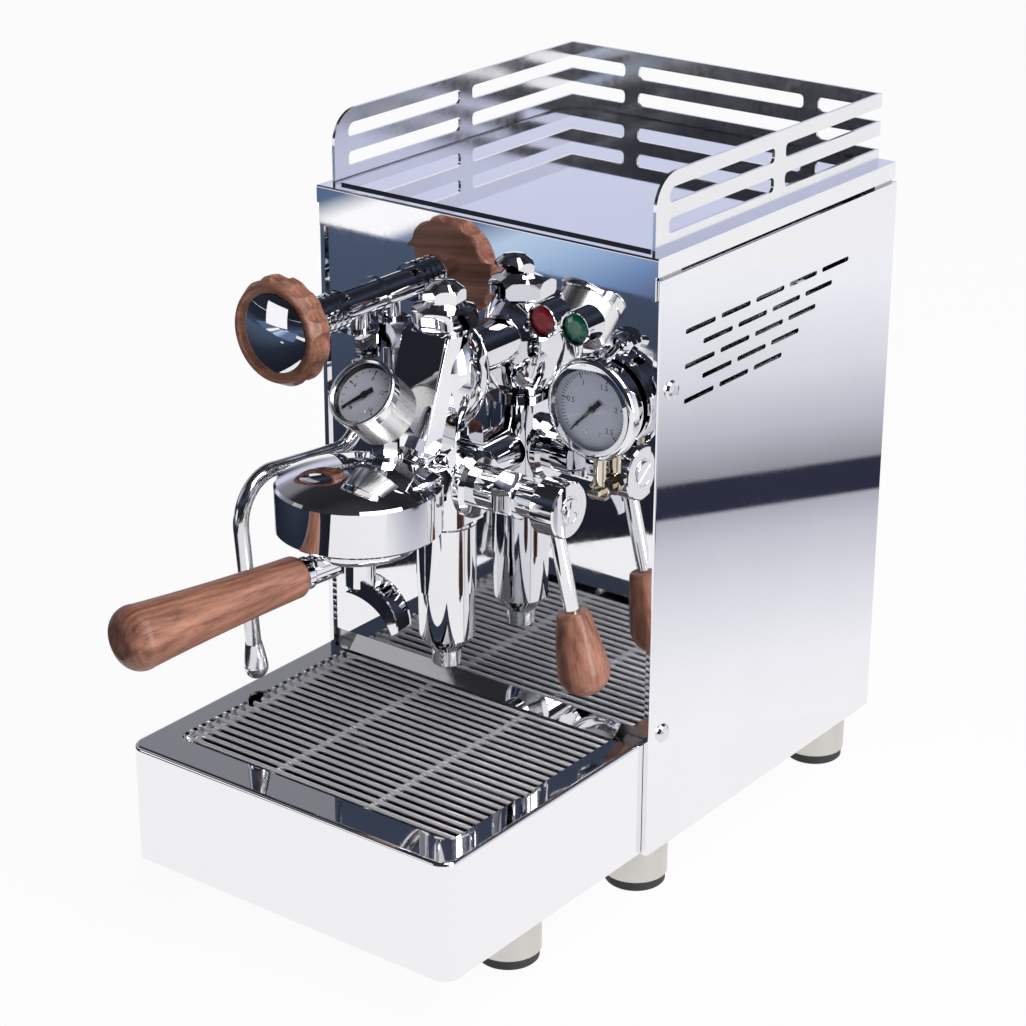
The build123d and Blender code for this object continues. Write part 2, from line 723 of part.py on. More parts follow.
def cup_rail():
    side_face = make_face(Polyline(
        (RAIL_FRONT, 0), (RAIL_REAR, 0), (RAIL_REAR, RAIL_HEIGHT), (RAIL_FRONT, RAIL_HEIGHT), close=True
    ))
    nose = side_face.vertices().group_by(Axis.X)[0].sort_by(Axis.Y)[-1]
    side_face = fillet(nose, RAIL_NOSE_RADIUS)
    rear_face = Pos(0, RAIL_HEIGHT / 2) * Rectangle(2 * RAIL_HALF, RAIL_HEIGHT)
    web_front = RAIL_SIDE_WEB_Y - RAIL_SIDE_WEB / 2
    web_rear = RAIL_SIDE_WEB_Y + RAIL_SIDE_WEB / 2
    web_inner = RAIL_REAR_WEB_X - RAIL_REAR_WEB / 2
    web_outer = RAIL_REAR_WEB_X + RAIL_REAR_WEB / 2
    past = 4 * RAIL_SLOT_CORNER
    for row, corner in ((0, RAIL_SLOT_CORNER), (1, RAIL_BAR * 0.6)):
        side_face -= rail_slot(RAIL_FRONT + RAIL_NOSE_BAR, web_front, row, corner)
        side_face -= rail_slot(web_rear, RAIL_REAR + past, row)
        rear_face -= rail_slot(-web_inner, web_inner, row)
        rear_face -= rail_slot(web_outer, RAIL_HALF + past, row)
        rear_face -= rail_slot(-RAIL_HALF - past, -web_outer, row)
    wall = Pos(RAIL_HALF - RAIL_SHEET, 0, COVER_TOP) * extrude(Plane.YZ * side_face, RAIL_SHEET)
    rear = Pos(0, RAIL_REAR, COVER_TOP) * FORWARD * extrude(rear_face, RAIL_SHEET)
    return wall + mirror(wall, Plane.YZ) + rear


def front_panel():
    half = INNER_HALF - FIT_GAP
    top = COVER_TOP - COVER_SHEET - PANEL_TOP_GAP
    plate = block((-half, PANEL_FACE, FLAP_ROOT), (half, PANEL_BACK, top))
    holes = [
        Pos(RED_LAMP_X, LAMP_Z) * Circle(LAMP_SHANK_RADIUS + FIT_GAP),
        Pos(GREEN_LAMP_X, LAMP_Z) * Circle(LAMP_SHANK_RADIUS + FIT_GAP),
        Pos(SWITCH_X, SWITCH_Z) * Circle(SWITCH_BUSH_RADIUS + FIT_GAP),
        Pos(BOILER_GAUGE_X, FITTING_Z) * Circle(FITTING_RADIUS + FIT_GAP),
        Pos(STEAM_X, STEAM_Z) * Circle(STEAM_BODY_RADIUS + FIT_GAP),
        Pos(0, UPPER_DUCT_Z) * Circle(SPIGOT_RADIUS + FIT_GAP),
        Pos(0, LEVER_Z) * Circle(SPIGOT_RADIUS + FIT_GAP),
    ]
    plate -= Pos(0, PANEL_BACK, 0) * FORWARD * extrude(Sketch() + holes, PANEL_SHEET)
    flap = make_face(Polyline(
        (PANEL_FACE, FLAP_ROOT),
        (PANEL_BACK, FLAP_ROOT),
        (PANEL_BACK - FLAP_OUT, FLAP_ROOT - FLAP_DROP),
        (PANEL_FACE - FLAP_OUT, FLAP_ROOT - FLAP_DROP),
        close=True,
    ))
    return plate + Pos(-FLAP_HALF, 0, 0) * extrude(Plane.YZ * flap, 2 * FLAP_HALF)


def drip_tray():
    low = FOOT_HEIGHT + TRAY_SKIRT_GAP
    box = block((-TRAY_HALF, -TRAY_FRONT, low), (TRAY_HALF, TRAY_REAR, TRAY_TOP))
    box = fillet(box.edges().filter_by(Axis.Z).group_by(Axis.Y)[0], TRAY_CORNER)
    top_edges = box.faces().sort_by(Axis.Z)[-1].edges()
    rear_edge = top_edges.sort_by(Axis.Y)[-1]
    box = fillet([edge for edge in top_edges if edge != rear_edge], TRAY_TOP_EDGE)
    inner = block(
        (TRAY_SHEET - TRAY_HALF, TRAY_SHEET - TRAY_FRONT, low),
        (TRAY_HALF - TRAY_SHEET, TRAY_REAR, TRAY_TOP - TRAY_SHEET),
    )
    inner = fillet(inner.edges().filter_by(Axis.Z).group_by(Axis.Y)[0], TRAY_CORNER - TRAY_SHEET)
    pan = pan_block(TRAY_SHEET, TRAY_TOP - TRAY_SHEET / 2, BASE_TOP)
    tray = box - inner + pan
    tray -= pan_block(0, TRAY_TOP, BASE_TOP + TRAY_SHEET)
    opening = OPEN_HALF + TRAY_SHEET
    tray -= block(
        (-opening, TRAY_REAR - 2 * TRAY_SHEET, TRAY_REAR_WALL), (opening, TRAY_REAR, TRAY_TOP)
    )
    for side in (-1, 1):
        notch = rod(NOTCH_RADIUS, LEDGE_TOP, TRAY_TOP)
        tray -= Pos(side * (OPEN_HALF + NOTCH_DEPTH - NOTCH_RADIUS), NOTCH_Y, 0) * notch
    return tray


def pan_block(wall, top, bottom):
    """Stepped block of the pan, the given wall larger than its inside."""
    rear = TRAY_REAR - TRAY_SHEET + wall
    upper_half = OPEN_HALF + wall
    upper = block((-upper_half, OPEN_FRONT - wall, LEDGE_TOP - wall), (upper_half, rear, top))
    upper = fillet(upper.edges().filter_by(Axis.Z).group_by(Axis.Y)[0], RIM_CORNER + wall)
    lower_half = upper_half - LEDGE
    lower = block((-lower_half, OPEN_FRONT + LEDGE - wall, bottom), (lower_half, rear, LEDGE_TOP))
    lower = fillet(lower.edges().filter_by(Axis.Z).group_by(Axis.Y)[0], RIM_CORNER + wall)
    return upper + lower


def drip_grate():
    half = OPEN_HALF - WIRE_END_GAP
    seat = LEDGE_TOP + CARRIER_RADIUS
    top = seat + CARRIER_RADIUS + WIRE_RADIUS - FIT_GAP
    wire = RIGHTWARD * rod(WIRE_RADIUS, -half, half)
    last = WIRE_FIRST_Y + WIRE_PITCH * (WIRE_COUNT - 1)
    front = OPEN_FRONT + RIM_CORNER * 0.7
    carrier = FORWARD * rod(CARRIER_RADIUS, -last - WIRE_RADIUS, -front)
    pieces = [Pos(0, WIRE_FIRST_Y + WIRE_PITCH * row, top) * wire for row in range(WIRE_COUNT)]
    pieces += [Pos(x, 0, seat) * carrier for x in CARRIER_XS]
    return Part() + pieces


def group_bell():
    rim = BELL_RADIUS - BELL_EDGE
    rim_top = BELL_SHOULDER + BELL_EDGE
    crown = rim_top + BELL_DOME
    outline = make_face([
        Polyline(
            (BELL_RADIUS * 0.05, 0, crown),
            (0, 0, crown),
            (0, 0, BELL_BOTTOM),
            (rim, 0, BELL_BOTTOM),
            (BELL_RADIUS, 0, BELL_BOTTOM + BELL_EDGE),
            (BELL_RADIUS, 0, BELL_SHOULDER),
            (rim, 0, rim_top),
        ),
        ThreePointArc(
            (rim, 0, rim_top),
            (rim * 0.56, 0, rim_top + BELL_DOME * 0.69),
            (BELL_RADIUS * 0.05, 0, crown),
        ),
    ])
    return Pos(0, BELL_Y, 0) * revolve(outline, Axis.Z)


def group_bulge():
    """Round housing of the upper valve, behind the neck."""
    foot = BELL_BOTTOM + BULGE_FOOT_RISE
    middle = (foot + NECK_TOP) / 2
    outline = make_face([
        Polyline(
            (BULGE_TOP_RADIUS, 0, NECK_TOP), (0, 0, NECK_TOP), (0, 0, foot), (BULGE_FOOT_RADIUS, 0, foot)
        ),
        ThreePointArc(
            (BULGE_FOOT_RADIUS, 0, foot),
            (BULGE_RADIUS, 0, middle),
            (BULGE_TOP_RADIUS, 0, NECK_TOP),
        ),
    ])
    return Pos(0, VALVE_Y, 0) * revolve(outline, Axis.Z)


def lug_pair(inner, outer, bottom, top, spread):
    """Two opposite ring pieces, each spread over the given angle about the X axis."""
    ring = rod(outer, bottom, top) - rod(inner, bottom, top)
    reach = outer * 2
    wedge = make_face(Polyline(
        (0, 0),
        (reach, reach * tan(radians(spread / 2))),
        (reach, -reach * tan(radians(spread / 2))),
        close=True,
    ))
    sector = Pos(0, 0, bottom) * extrude(wedge, top - bottom)
    return ring & (sector + Rot(0, 0, 180) * sector)


def group_body():
    foot_z = BELL_BOTTOM + NECK_FOOT_RISE
    lobe_top = BELL_BOTTOM + LOBE_RISE
    top = neck_section(
        NECK_TOP_FLAT, NECK_TOP_FRONT, NECK_TOP_HALF, NECK_TOP_CHEEK, NECK_TOP_REAR, NECK_TOP
    )
    foot = neck_section(
        NECK_FOOT_FLAT, NECK_FOOT_FRONT, NECK_FOOT_HALF, NECK_FOOT_CHEEK, NECK_FOOT_REAR, foot_z
    )
    waist = neck_section(
        LOBE_RADIUS * 0.7, LOBE_Y - LOBE_RADIUS * 0.6, LOBE_RADIUS * 0.9, LOBE_Y - LOBE_RADIUS * 0.3,
        LOBE_Y + LOBE_RADIUS, lobe_top
    )
    body = loft([top, foot], ruled=True) + loft([foot, waist], ruled=True) + group_bulge()
    body += Pos(0, LOBE_Y, 0) * rod(LOBE_RADIUS, BELL_BOTTOM, lobe_top)
    cross = RIGHTWARD * rod(CROSS_RADIUS, -CROSS_HALF, CROSS_HALF)
    body += Pos(0, CROSS_Y, BELL_BOTTOM + CROSS_RISE) * cross
    body += block((-BRIDGE_HALF, LOBE_Y, BELL_BOTTOM), (BRIDGE_HALF, VALVE_Y, foot_z))
    cam = Pos(0, VALVE_Y, 0) * rod(CAM_RADIUS, CAM_BOTTOM, CAM_TOP)
    cam &= block((-LEVER_BOSS, VALVE_Y - CAM_RADIUS, CAM_BOTTOM), (LEVER_BOSS, VALVE_Y + CAM_RADIUS, CAM_TOP))
    body += cam + Pos(0, VALVE_Y, 0) * rod(BULGE_FOOT_RADIUS, CAM_BOTTOM, NECK_TOP)
    for z in (UPPER_DUCT_Z, LEVER_Z):
        body += on_panel(0, z) * rod(DUCT_RADIUS, 0, PANEL_FACE - VALVE_Y)
        body += on_panel(0, z) * rod(SPIGOT_RADIUS, -SPIGOT_REACH, 0)
    body += group_bell() + Pos(0, BOSS_Y, 0) * rod(BOSS_RADIUS, BELL_SHOULDER, BOSS_TOP)
    hollow = rod(LIP_BORE, BELL_BOTTOM, LIP_TOP) + rod(GROOVE_RADIUS, LIP_TOP, GROOVE_TOP)
    hollow += rod(SEAL_BORE, GROOVE_TOP, GASKET_TOP)
    entry = lug_pair(LIP_BORE - LUG_GAP, GROOVE_RADIUS, BELL_BOTTOM, LIP_TOP, LUG_ARC + ENTRY_PLAY)
    hollow += Rot(0, 0, HANDLE_TURN - ENTRY_TURN) * entry
    body -= Pos(0, BELL_Y, 0) * hollow
    return body - on_lever_axis(rod(SHAFT_RADIUS + RUNNING_FIT, SHAFT_START - FIT_GAP, LEVER_BOSS))


def group_gasket():
    outer = SEAL_BORE - FIT_GAP
    ring = rod(outer, GROOVE_TOP, GASKET_TOP) - rod(outer - SEAL_WIDTH, GROOVE_TOP, GASKET_TOP)
    return Pos(0, BELL_Y, 0) * ring


def shower_screen():
    radius = SEAL_BORE - SEAL_WIDTH - 2 * FIT_GAP
    low = GASKET_TOP - SCREEN_DROP
    disc = turned((0, low), (radius * 0.9, low), (radius, low + 1), (radius, GASKET_TOP), (0, GASKET_TOP))
    return Pos(0, BELL_Y, 0) * disc


def group_collar_nut():
    low = NECK_TOP + COLLAR_SEAT
    top = NECK_TOP + COLLAR_NUT_HEIGHT
    corner = COLLAR_NUT_FLATS / 2 * ACROSS
    outline = (0, low), (corner * 0.95, low), (corner, low + COLLAR_SEAT), (corner, top - COLLAR_NUT_CROWN)
    outline += (corner * 0.92, top - COLLAR_NUT_CROWN * 0.4), (CAP_RING_RADIUS, top), (0, top)
    nut = Rot(0, 0, COLLAR_NUT_TURN) * hex_bar(COLLAR_NUT_FLATS, low, top) & turned(*outline)
    return Pos(0, VALVE_Y, 0) * (nut + rod(COLLAR_SEAT_RADIUS, NECK_TOP, low))


def group_cap_nut():
    low = NECK_TOP + COLLAR_NUT_HEIGHT
    seat = low + CAP_RING_HEIGHT
    shoulder = seat + CAP_HEIGHT
    crown = shoulder + CAP_DOME
    corner = CAP_FLATS / 2 * ACROSS
    outline = (0, seat), (corner, seat), (corner, shoulder - CAP_DOME * 0.4), (corner * 0.9, shoulder)
    outline += (corner * 0.55, crown - CAP_DOME * 0.3), (0, crown)
    cap = Rot(0, 0, CAP_TURN) * hex_bar(CAP_FLATS, seat, crown) & turned(*outline)
    ring = turned((0, low), (CAP_RING_RADIUS, low), (CAP_FLATS / 2, seat), (0, seat))
    return Pos(0, VALVE_Y, 0) * (cap + ring)


def discharge_body():
    ring = CHAMBER_RADIUS + CHAMBER_RING
    step = 2 * CHAMBER_RING
    return Pos(0, VALVE_Y, 0) * turned(
        (0, CHAMBER_BOTTOM),
        (CHAMBER_RADIUS, CHAMBER_BOTTOM),
        (CHAMBER_RADIUS, CAM_BOTTOM - 2 * step),
        (ring, CAM_BOTTOM - step),
        (ring, CAM_BOTTOM),
        (0, CAM_BOTTOM),
    )


def discharge_tip():
    shoulder = CHAMBER_BOTTOM - NOZZLE_HEIGHT
    neck = shoulder - NOZZLE_TAPER
    tip = neck - NOZZLE_NECK_HEIGHT
    edge = CHAMBER_RING
    return Pos(0, VALVE_Y, 0) * turned(
        (NOZZLE_BORE, tip),
        (NOZZLE_NECK_RADIUS - edge, tip),
        (NOZZLE_NECK_RADIUS, tip + edge),
        (NOZZLE_NECK_RADIUS, neck),
        (NOZZLE_RADIUS * 0.88, shoulder - NOZZLE_TAPER * 0.3),
        (NOZZLE_RADIUS, shoulder),
        (NOZZLE_RADIUS, CHAMBER_BOTTOM),
        (NOZZLE_BORE, CHAMBER_BOTTOM),
    )


def on_lever_axis(shape):
    """Turn a piece made about Z so that it lies along the lever's axis."""
    return Pos(0, VALVE_Y, LEVER_Z) * RIGHTWARD * shape


def lever_bush():
    soft = LEVER_COLLAR_RADIUS - LEVER_COLLAR_EDGE
    ring = turned(
        (SHAFT_RADIUS + FIT_GAP, LEVER_BOSS),
        (soft, LEVER_BOSS),
        (LEVER_COLLAR_RADIUS, LEVER_BOSS + LEVER_COLLAR_EDGE),
        (LEVER_COLLAR_RADIUS, COLLAR_END - LEVER_COLLAR_EDGE),
        (soft, COLLAR_END),
        (SHAFT_RADIUS + FIT_GAP, COLLAR_END),
    )
    return on_lever_axis(ring)


def lever_gland():
    nut_start = COLLAR_END + GLAND_SLEEVE
    gland = rod(GLAND_SLEEVE_RADIUS, COLLAR_END, nut_start)
    gland += hex_nut(GLAND_NUT_FLATS, nut_start, nut_start + GLAND_NUT)
    gland += rod(GLAND_NECK_RADIUS, nut_start, GLAND_END)
    return on_lever_axis(gland - rod(SHAFT_RADIUS + RUNNING_FIT, COLLAR_END, GLAND_END))


def lever_shaft():
    return on_lever_axis(rod(SHAFT_RADIUS, SHAFT_START, HUB_END - HUB_BORE_FLOOR))


def hub_form():
    """Hub as a plain turned form about Z, without its bore."""
    soft = HUB_RADIUS - HUB_EDGE
    return turned(
        (0, HUB_START),
        (soft, HUB_START),
        (HUB_RADIUS, HUB_START + HUB_EDGE),
        (HUB_RADIUS, HUB_END - HUB_EDGE),
        (soft, HUB_END),
        (0, HUB_END),
    )


def lever_hub():
    bore = rod(SHAFT_RADIUS + RUNNING_FIT, HUB_START, HUB_END - HUB_BORE_FLOOR)
    return on_lever_axis(hub_form() - bore)


def arm_place():
    """Place at the arm's root on the lever's axis, local Z running along the arm."""
    direction = (ARM_LEAN, 0, -ARM_END_DROP)
    return Plane(origin=(ARM_X, VALVE_Y, LEVER_Z), x_dir=(0, 1, 0), z_dir=direction)


def arm_length():
    return sqrt(ARM_LEAN ** 2 + ARM_END_DROP ** 2)


def lever_arm():
    arm = arm_place() * rod(ARM_RADIUS, HUB_RADIUS * 0.7, arm_length())
    return arm - on_lever_axis(hub_form())


def lever_knob():
    shoulder = (KNOB_TOP_RADIUS, 0, HUB_EDGE)
    outline = make_face([
        Polyline((0, 0, KNOB_LENGTH), (0, 0, 0), (KNOB_TOP_RADIUS - HUB_EDGE, 0, 0), shoulder),
        ThreePointArc(
            shoulder,
            ((KNOB_TOP_RADIUS + KNOB_BELLY_RADIUS) * 0.52, 0, KNOB_BELLY / 2),
            (KNOB_BELLY_RADIUS, 0, KNOB_BELLY),
        ),
        ThreePointArc(
            (KNOB_BELLY_RADIUS, 0, KNOB_BELLY),
            (KNOB_BELLY_RADIUS * 0.76, 0, KNOB_BELLY + (KNOB_LENGTH - KNOB_BELLY) * 0.68),
            (KNOB_END_RADIUS, 0, KNOB_LENGTH),
        ),
        Line((KNOB_END_RADIUS, 0, KNOB_LENGTH), (0, 0, KNOB_LENGTH)),
    ])
    return arm_place() * Pos(0, 0, arm_length()) * revolve(outline, Axis.Z)


def gauge_levels(gauge):
    """Heights of a gauge's dial, lens bottom and lens top, counted from its back."""
    lens_top = gauge["depth"] - GAUGE_WALL
    lens_low = lens_top - LENS_THICK
    return lens_low - 2 * NEEDLE_GAP - NEEDLE_THICK - NEEDLE_LIFT, lens_low, lens_top


def gauge_form(gauge):
    """Outside of a gauge about Z, solid, with its back at Z = 0 and the bezel at the front."""
    radius, body, depth = gauge["radius"], gauge["body"], gauge["depth"]
    soft = gauge["round"]
    base = depth - gauge["bezel"]
    outline = make_face([
        Polyline(
            (radius - soft, 0, depth),
            (0, 0, depth),
            (0, 0, 0),
            (body - GAUGE_WALL, 0, 0),
            (body, 0, GAUGE_WALL),
            (body, 0, base),
            (radius - GAUGE_WALL / 2, 0, base),
            (radius, 0, base + GAUGE_WALL / 2),
            (radius, 0, depth - soft),
        ),
        ThreePointArc(
            (radius, 0, depth - soft),
            (radius - soft * 0.293, 0, depth - soft * 0.293),
            (radius - soft, 0, depth),
        ),
    ])
    return revolve(outline, Axis.Z)


def gauge_case(gauge):
    cavity = gauge["radius"] - GAUGE_WALL
    dial_top, lens_low, lens_top = gauge_levels(gauge)
    floor = gauge["depth"] - gauge["bezel"] + GAUGE_WALL
    case = gauge_form(gauge) - rod(cavity, floor, lens_low)
    lens_seat = gauge["radius"] - gauge["round"] - GAUGE_WALL / 2
    case -= rod(min(lens_seat, cavity), lens_low, lens_top)
    return case - rod(gauge["radius"] - gauge["rim"], lens_top, gauge["depth"])


def gauge_dial(gauge):
    dial_top = gauge_levels(gauge)[0]
    floor = gauge["depth"] - gauge["bezel"] + GAUGE_WALL
    seat = rod(gauge["radius"] - GAUGE_WALL - FIT_GAP / 3, floor, dial_top)
    return seat - rod(NEEDLE_ARBOR_RADIUS + NEEDLE_GAP, dial_top - NEEDLE_ARBOR, dial_top)


def gauge_lens(gauge):
    dial_top, lens_low, lens_top = gauge_levels(gauge)
    seat = min(gauge["radius"] - gauge["round"] - GAUGE_WALL / 2, gauge["radius"] - GAUGE_WALL)
    return rod(seat - FIT_GAP / 3, lens_low, lens_top)


def gauge_needle(gauge):
    dial_top = gauge_levels(gauge)[0]
    low = dial_top + NEEDLE_LIFT
    reach = (gauge["radius"] - gauge["rim"]) * 0.8
    tail = -reach * NEEDLE_TAIL
    blade = make_face(Polyline(
        (tail, NEEDLE_WIDTH), (reach, NEEDLE_WIDTH * 0.25),
        (reach, -NEEDLE_WIDTH * 0.25), (tail, -NEEDLE_WIDTH), close=True
    ))
    needle = Pos(0, 0, low) * extrude(blade, NEEDLE_THICK) + rod(NEEDLE_HUB_RADIUS, low, low + NEEDLE_THICK)
    needle += rod(NEEDLE_ARBOR_RADIUS, dial_top - NEEDLE_ARBOR + NEEDLE_GAP, low)
    return Rot(0, 0, NEEDLE_ZERO) * needle


def group_gauge_place():
    """Place at the back of the tilted gauge, local Z pointing at the user."""
    tilt = radians(GROUP_GAUGE_TILT)
    out = (0, -cos(tilt), sin(tilt))
    back_y = GROUP_GAUGE_Y + GROUP_GAUGE_DEPTH * cos(tilt)
    back_z = GROUP_GAUGE_Z - GROUP_GAUGE_DEPTH * sin(tilt)
    return Plane(origin=(0, back_y, back_z), x_dir=(1, 0, 0), z_dir=out)


def boiler_gauge_place():
    """Place at the back of the upright gauge, local Z pointing at the user."""
    return Plane(
        origin=(BOILER_GAUGE_X, PANEL_FACE - BOILER_GAUGE_GAP, BOILER_GAUGE_Z),
        x_dir=(1, 0, 0),
        z_dir=(0, -1, 0),
    )


def group_gauge_stem():
    nut = hex_nut(STEM_NUT_FLATS, BOSS_TOP, BOSS_TOP + STEM_NUT_HEIGHT)
    stem = Pos(0, BOSS_Y, 0) * (nut + rod(STEM_RADIUS, BOSS_TOP, GROUP_GAUGE_Z))
    before = group_gauge_place() * rod(GROUP_GAUGE_RADIUS * 2, 0, GROUP_GAUGE_DEPTH * 3)
    return stem - before


def boiler_gauge_fitting():
    stem_y = PANEL_FACE - BOILER_GAUGE_GAP - (BOILER_GAUGE_DEPTH - BOILER_GAUGE_BEZEL) / 2
    front = PANEL_FACE - stem_y + FITTING_FRONT
    leg = rod(FITTING_RADIUS, -FITTING_TAIL, front)
    leg += hex_nut(FITTING_NUT_FLATS, FITTING_NUT_GAP, FITTING_NUT_GAP + FITTING_NUT)
    leg = Pos(BOILER_GAUGE_X, PANEL_FACE, FITTING_Z) * FORWARD * leg
    stem = Pos(BOILER_GAUGE_X, stem_y, 0) * rod(FITTING_STEM_RADIUS, FITTING_Z, BOILER_GAUGE_Z)
    return leg + (stem - boiler_gauge_place() * gauge_form(BOILER_GAUGE))


def on_portafilter(shape):
    """Place a piece made about the bowl's axis, with the handle along local -Y."""
    return Pos(0, BELL_Y, 0) * Rot(0, 0, HANDLE_TURN) * shape


def handle_place():
    """Place on the bowl's axis, local Z running out along the drooping handle."""
    droop = radians(HANDLE_DROOP)
    direction = (0, -cos(droop), -sin(droop))
    return Plane(origin=(0, 0, BELL_BOTTOM - HANDLE_DROP), x_dir=(1, 0, 0), z_dir=direction)


def bowl_form():
    """Outside of the bowl, solid, about Z."""
    rim = PORTAFILTER_TOP - BASKET_LIP
    waist = BELL_BOTTOM - BOWL_WAIST_DROP
    bend_radius = BOWL_FOOT_RADIUS + (BOWL_RADIUS - BOWL_FOOT_RADIUS) * 0.75
    shape = make_face([
        Polyline((0, 0, BOWL_BOTTOM), (0, 0, rim), (BOWL_RADIUS, 0, rim), (BOWL_RADIUS, 0, waist)),
        ThreePointArc(
            (BOWL_RADIUS, 0, waist),
            (bend_radius, 0, BOWL_BOTTOM + (waist - BOWL_BOTTOM) * 0.32),
            (BOWL_FOOT_RADIUS, 0, BOWL_BOTTOM),
        ),
        Line((BOWL_FOOT_RADIUS, 0, BOWL_BOTTOM), (0, 0, BOWL_BOTTOM)),
    ])
    return revolve(shape, Axis.Z)


def portafilter_body():
    rim = PORTAFILTER_TOP - BASKET_LIP
    floor = BOWL_BOTTOM + BOWL_FLOOR
    lug_low = LIP_TOP + LUG_GAP
    lug_top = lug_low + LUG_HEIGHT
    lugs = lug_pair(BASKET_RADIUS + BASKET_WALL, GROOVE_RADIUS - LUG_GAP, lug_low, lug_top, LUG_ARC)
    body = bowl_form() + lugs + handle_place() * rod(NECK_ROD_RADIUS, NECK_ROD_START, FERRULE_START)
    body -= rod(BASKET_RADIUS + BASKET_FIT, floor, rim)
    body -= rod(DRAIN_RADIUS, BOWL_BOTTOM, floor)
    return on_portafilter(body)


def filter_basket():
    rim = PORTAFILTER_TOP - BASKET_LIP
    low = BELL_BOTTOM - BASKET_DROP
    inner = BASKET_RADIUS - BASKET_WALL
    lip = BOWL_RADIUS - BASKET_LIP_INSET
    return on_portafilter(turned(
        (0, low),
        (inner - 2 * BASKET_WALL, low),
        (BASKET_RADIUS - BASKET_WALL, low + 2 * BASKET_WALL),
        (BASKET_RADIUS, rim),
        (lip, rim),
        (lip, PORTAFILTER_TOP),
        (inner, PORTAFILTER_TOP),
        (inner - BASKET_WALL, low + 2 * BASKET_WALL),
        (inner - 3 * BASKET_WALL, low + BASKET_WALL),
        (0, low + BASKET_WALL),
    ))


def spout_side(inset):
    """Side view of the spout's channel as (reach, height), drawn in by an inset."""
    bottom = BOWL_BOTTOM - TRUNK_LENGTH + inset
    tip = BOWL_BOTTOM - TRUNK_LENGTH - SPOUT_DROP - inset
    drop = bottom - tip
    heel = (-TRUNK_RADIUS * 0.6 + inset, bottom)
    toe = (SPOUT_REACH * 0.88 + inset, tip)
    lip = (SPOUT_REACH + inset, tip + drop * 0.12)
    root = (TRUNK_RADIUS * 0.6, bottom + SPOUT_ROOT_RISE)
    return make_face([
        ThreePointArc(heel, (SPOUT_REACH * 0.55 + inset, bottom - drop * 0.36), toe),
        Line(toe, lip),
        ThreePointArc(lip, (SPOUT_REACH * 0.84 + inset, bottom - drop * 0.12), root),
        Line(root, heel),
    ])


def portafilter_spout():
    bottom = BOWL_BOTTOM - TRUNK_LENGTH
    ring = TRUNK_RADIUS + TRUNK_RING
    trunk = turned(
        (0, bottom),
        (TRUNK_RADIUS - TRUNK_ROUNDING, bottom),
        (TRUNK_RADIUS - TRUNK_ROUNDING * 0.3, bottom + TRUNK_ROUNDING * 0.3),
        (TRUNK_RADIUS, bottom + TRUNK_ROUNDING),
        (TRUNK_RADIUS, BOWL_BOTTOM - TRUNK_RING_HEIGHT - TRUNK_RING),
        (ring, BOWL_BOTTOM - TRUNK_RING_HEIGHT),
        (ring, BOWL_BOTTOM),
        (0, BOWL_BOTTOM),
    )
    half = SPOUT_WIDTH / 2
    channel = Pos(0, -half, 0) * FORWARD * extrude(spout_side(0), -SPOUT_WIDTH)
    inner_half = half - SPOUT_WALL
    hollow = Pos(0, -inner_half, 0) * FORWARD * extrude(spout_side(SPOUT_WALL), -2 * inner_half)
    return Pos(0, BELL_Y, 0) * Rot(0, 0, SPOUT_TURN) * (trunk + (channel - hollow))


def portafilter_ferrule():
    ferrule = turned(
        (0, FERRULE_START),
        (NECK_ROD_RADIUS, FERRULE_START),
        (FERRULE_RADIUS, FERRULE_START + FERRULE_CONE),
        (FERRULE_RADIUS, WOOD_START),
        (0, WOOD_START),
    )
    return on_portafilter(handle_place() * ferrule)


def portafilter_handle():
    end = WOOD_START + WOOD_LENGTH
    belly = end - WOOD_ROUNDING
    half = WOOD_START + WOOD_LENGTH * 0.45
    face = (WOOD_FACE_RADIUS, 0, WOOD_START)
    shoulder = (WOOD_START_RADIUS, 0, WOOD_START + WOOD_SHOULDER)
    rise = WOOD_START_RADIUS - WOOD_FACE_RADIUS
    outline = make_face([
        Polyline((0, 0, end), (0, 0, WOOD_START), face),
        ThreePointArc(
            face,
            (WOOD_FACE_RADIUS + rise * 0.68, 0, WOOD_START + WOOD_SHOULDER * 0.34),
            shoulder,
        ),
        ThreePointArc(shoulder, (WOOD_MID_RADIUS, 0, half), (WOOD_END_RADIUS, 0, belly)),
        ThreePointArc(
            (WOOD_END_RADIUS, 0, belly),
            (WOOD_END_RADIUS * 0.83, 0, end - WOOD_ROUNDING * 0.22),
            (WOOD_FLAT_RADIUS, 0, end),
        ),
        Line((WOOD_FLAT_RADIUS, 0, end), (0, 0, end)),
    ])
    return on_portafilter(handle_place() * revolve(outline, Axis.Z))


def on_steam_axis(shape):
    """Place a piece made about Z, counted forward from Y = 0, on the steam valve's axis."""
    return Pos(STEAM_X, 0, STEAM_Z) * FORWARD * shape


def steam_valve_body():
    body = rod(STEAM_BODY_RADIUS, -STEAM_TAIL, -STEAM_BODY_END)
    body += rod(STEAM_FLANGE_RADIUS, -PANEL_FACE, STEAM_FLANGE - PANEL_FACE)
    outlet = Pos(STEAM_X, OUTLET_Y, 0) * rod(OUTLET_RADIUS, WAND_NUT_TOP, STEAM_Z)
    return on_steam_axis(body) + outlet


def steam_valve_bonnet():
    start = -STEAM_BODY_END
    rib = (-BONNET_END - start) / (2 * BONNET_RIBS + 1)
    outline = [(SPINDLE_RADIUS + RUNNING_FIT, start)]
    for step in range(2 * BONNET_RIBS + 1):
        radius = BONNET_RADIUS - BONNET_GROOVE * (step % 2)
        outline += [(radius, start + rib * step), (radius, start + rib * (step + 1))]
    outline.append((SPINDLE_RADIUS + RUNNING_FIT, -BONNET_END))
    return on_steam_axis(turned(*outline))


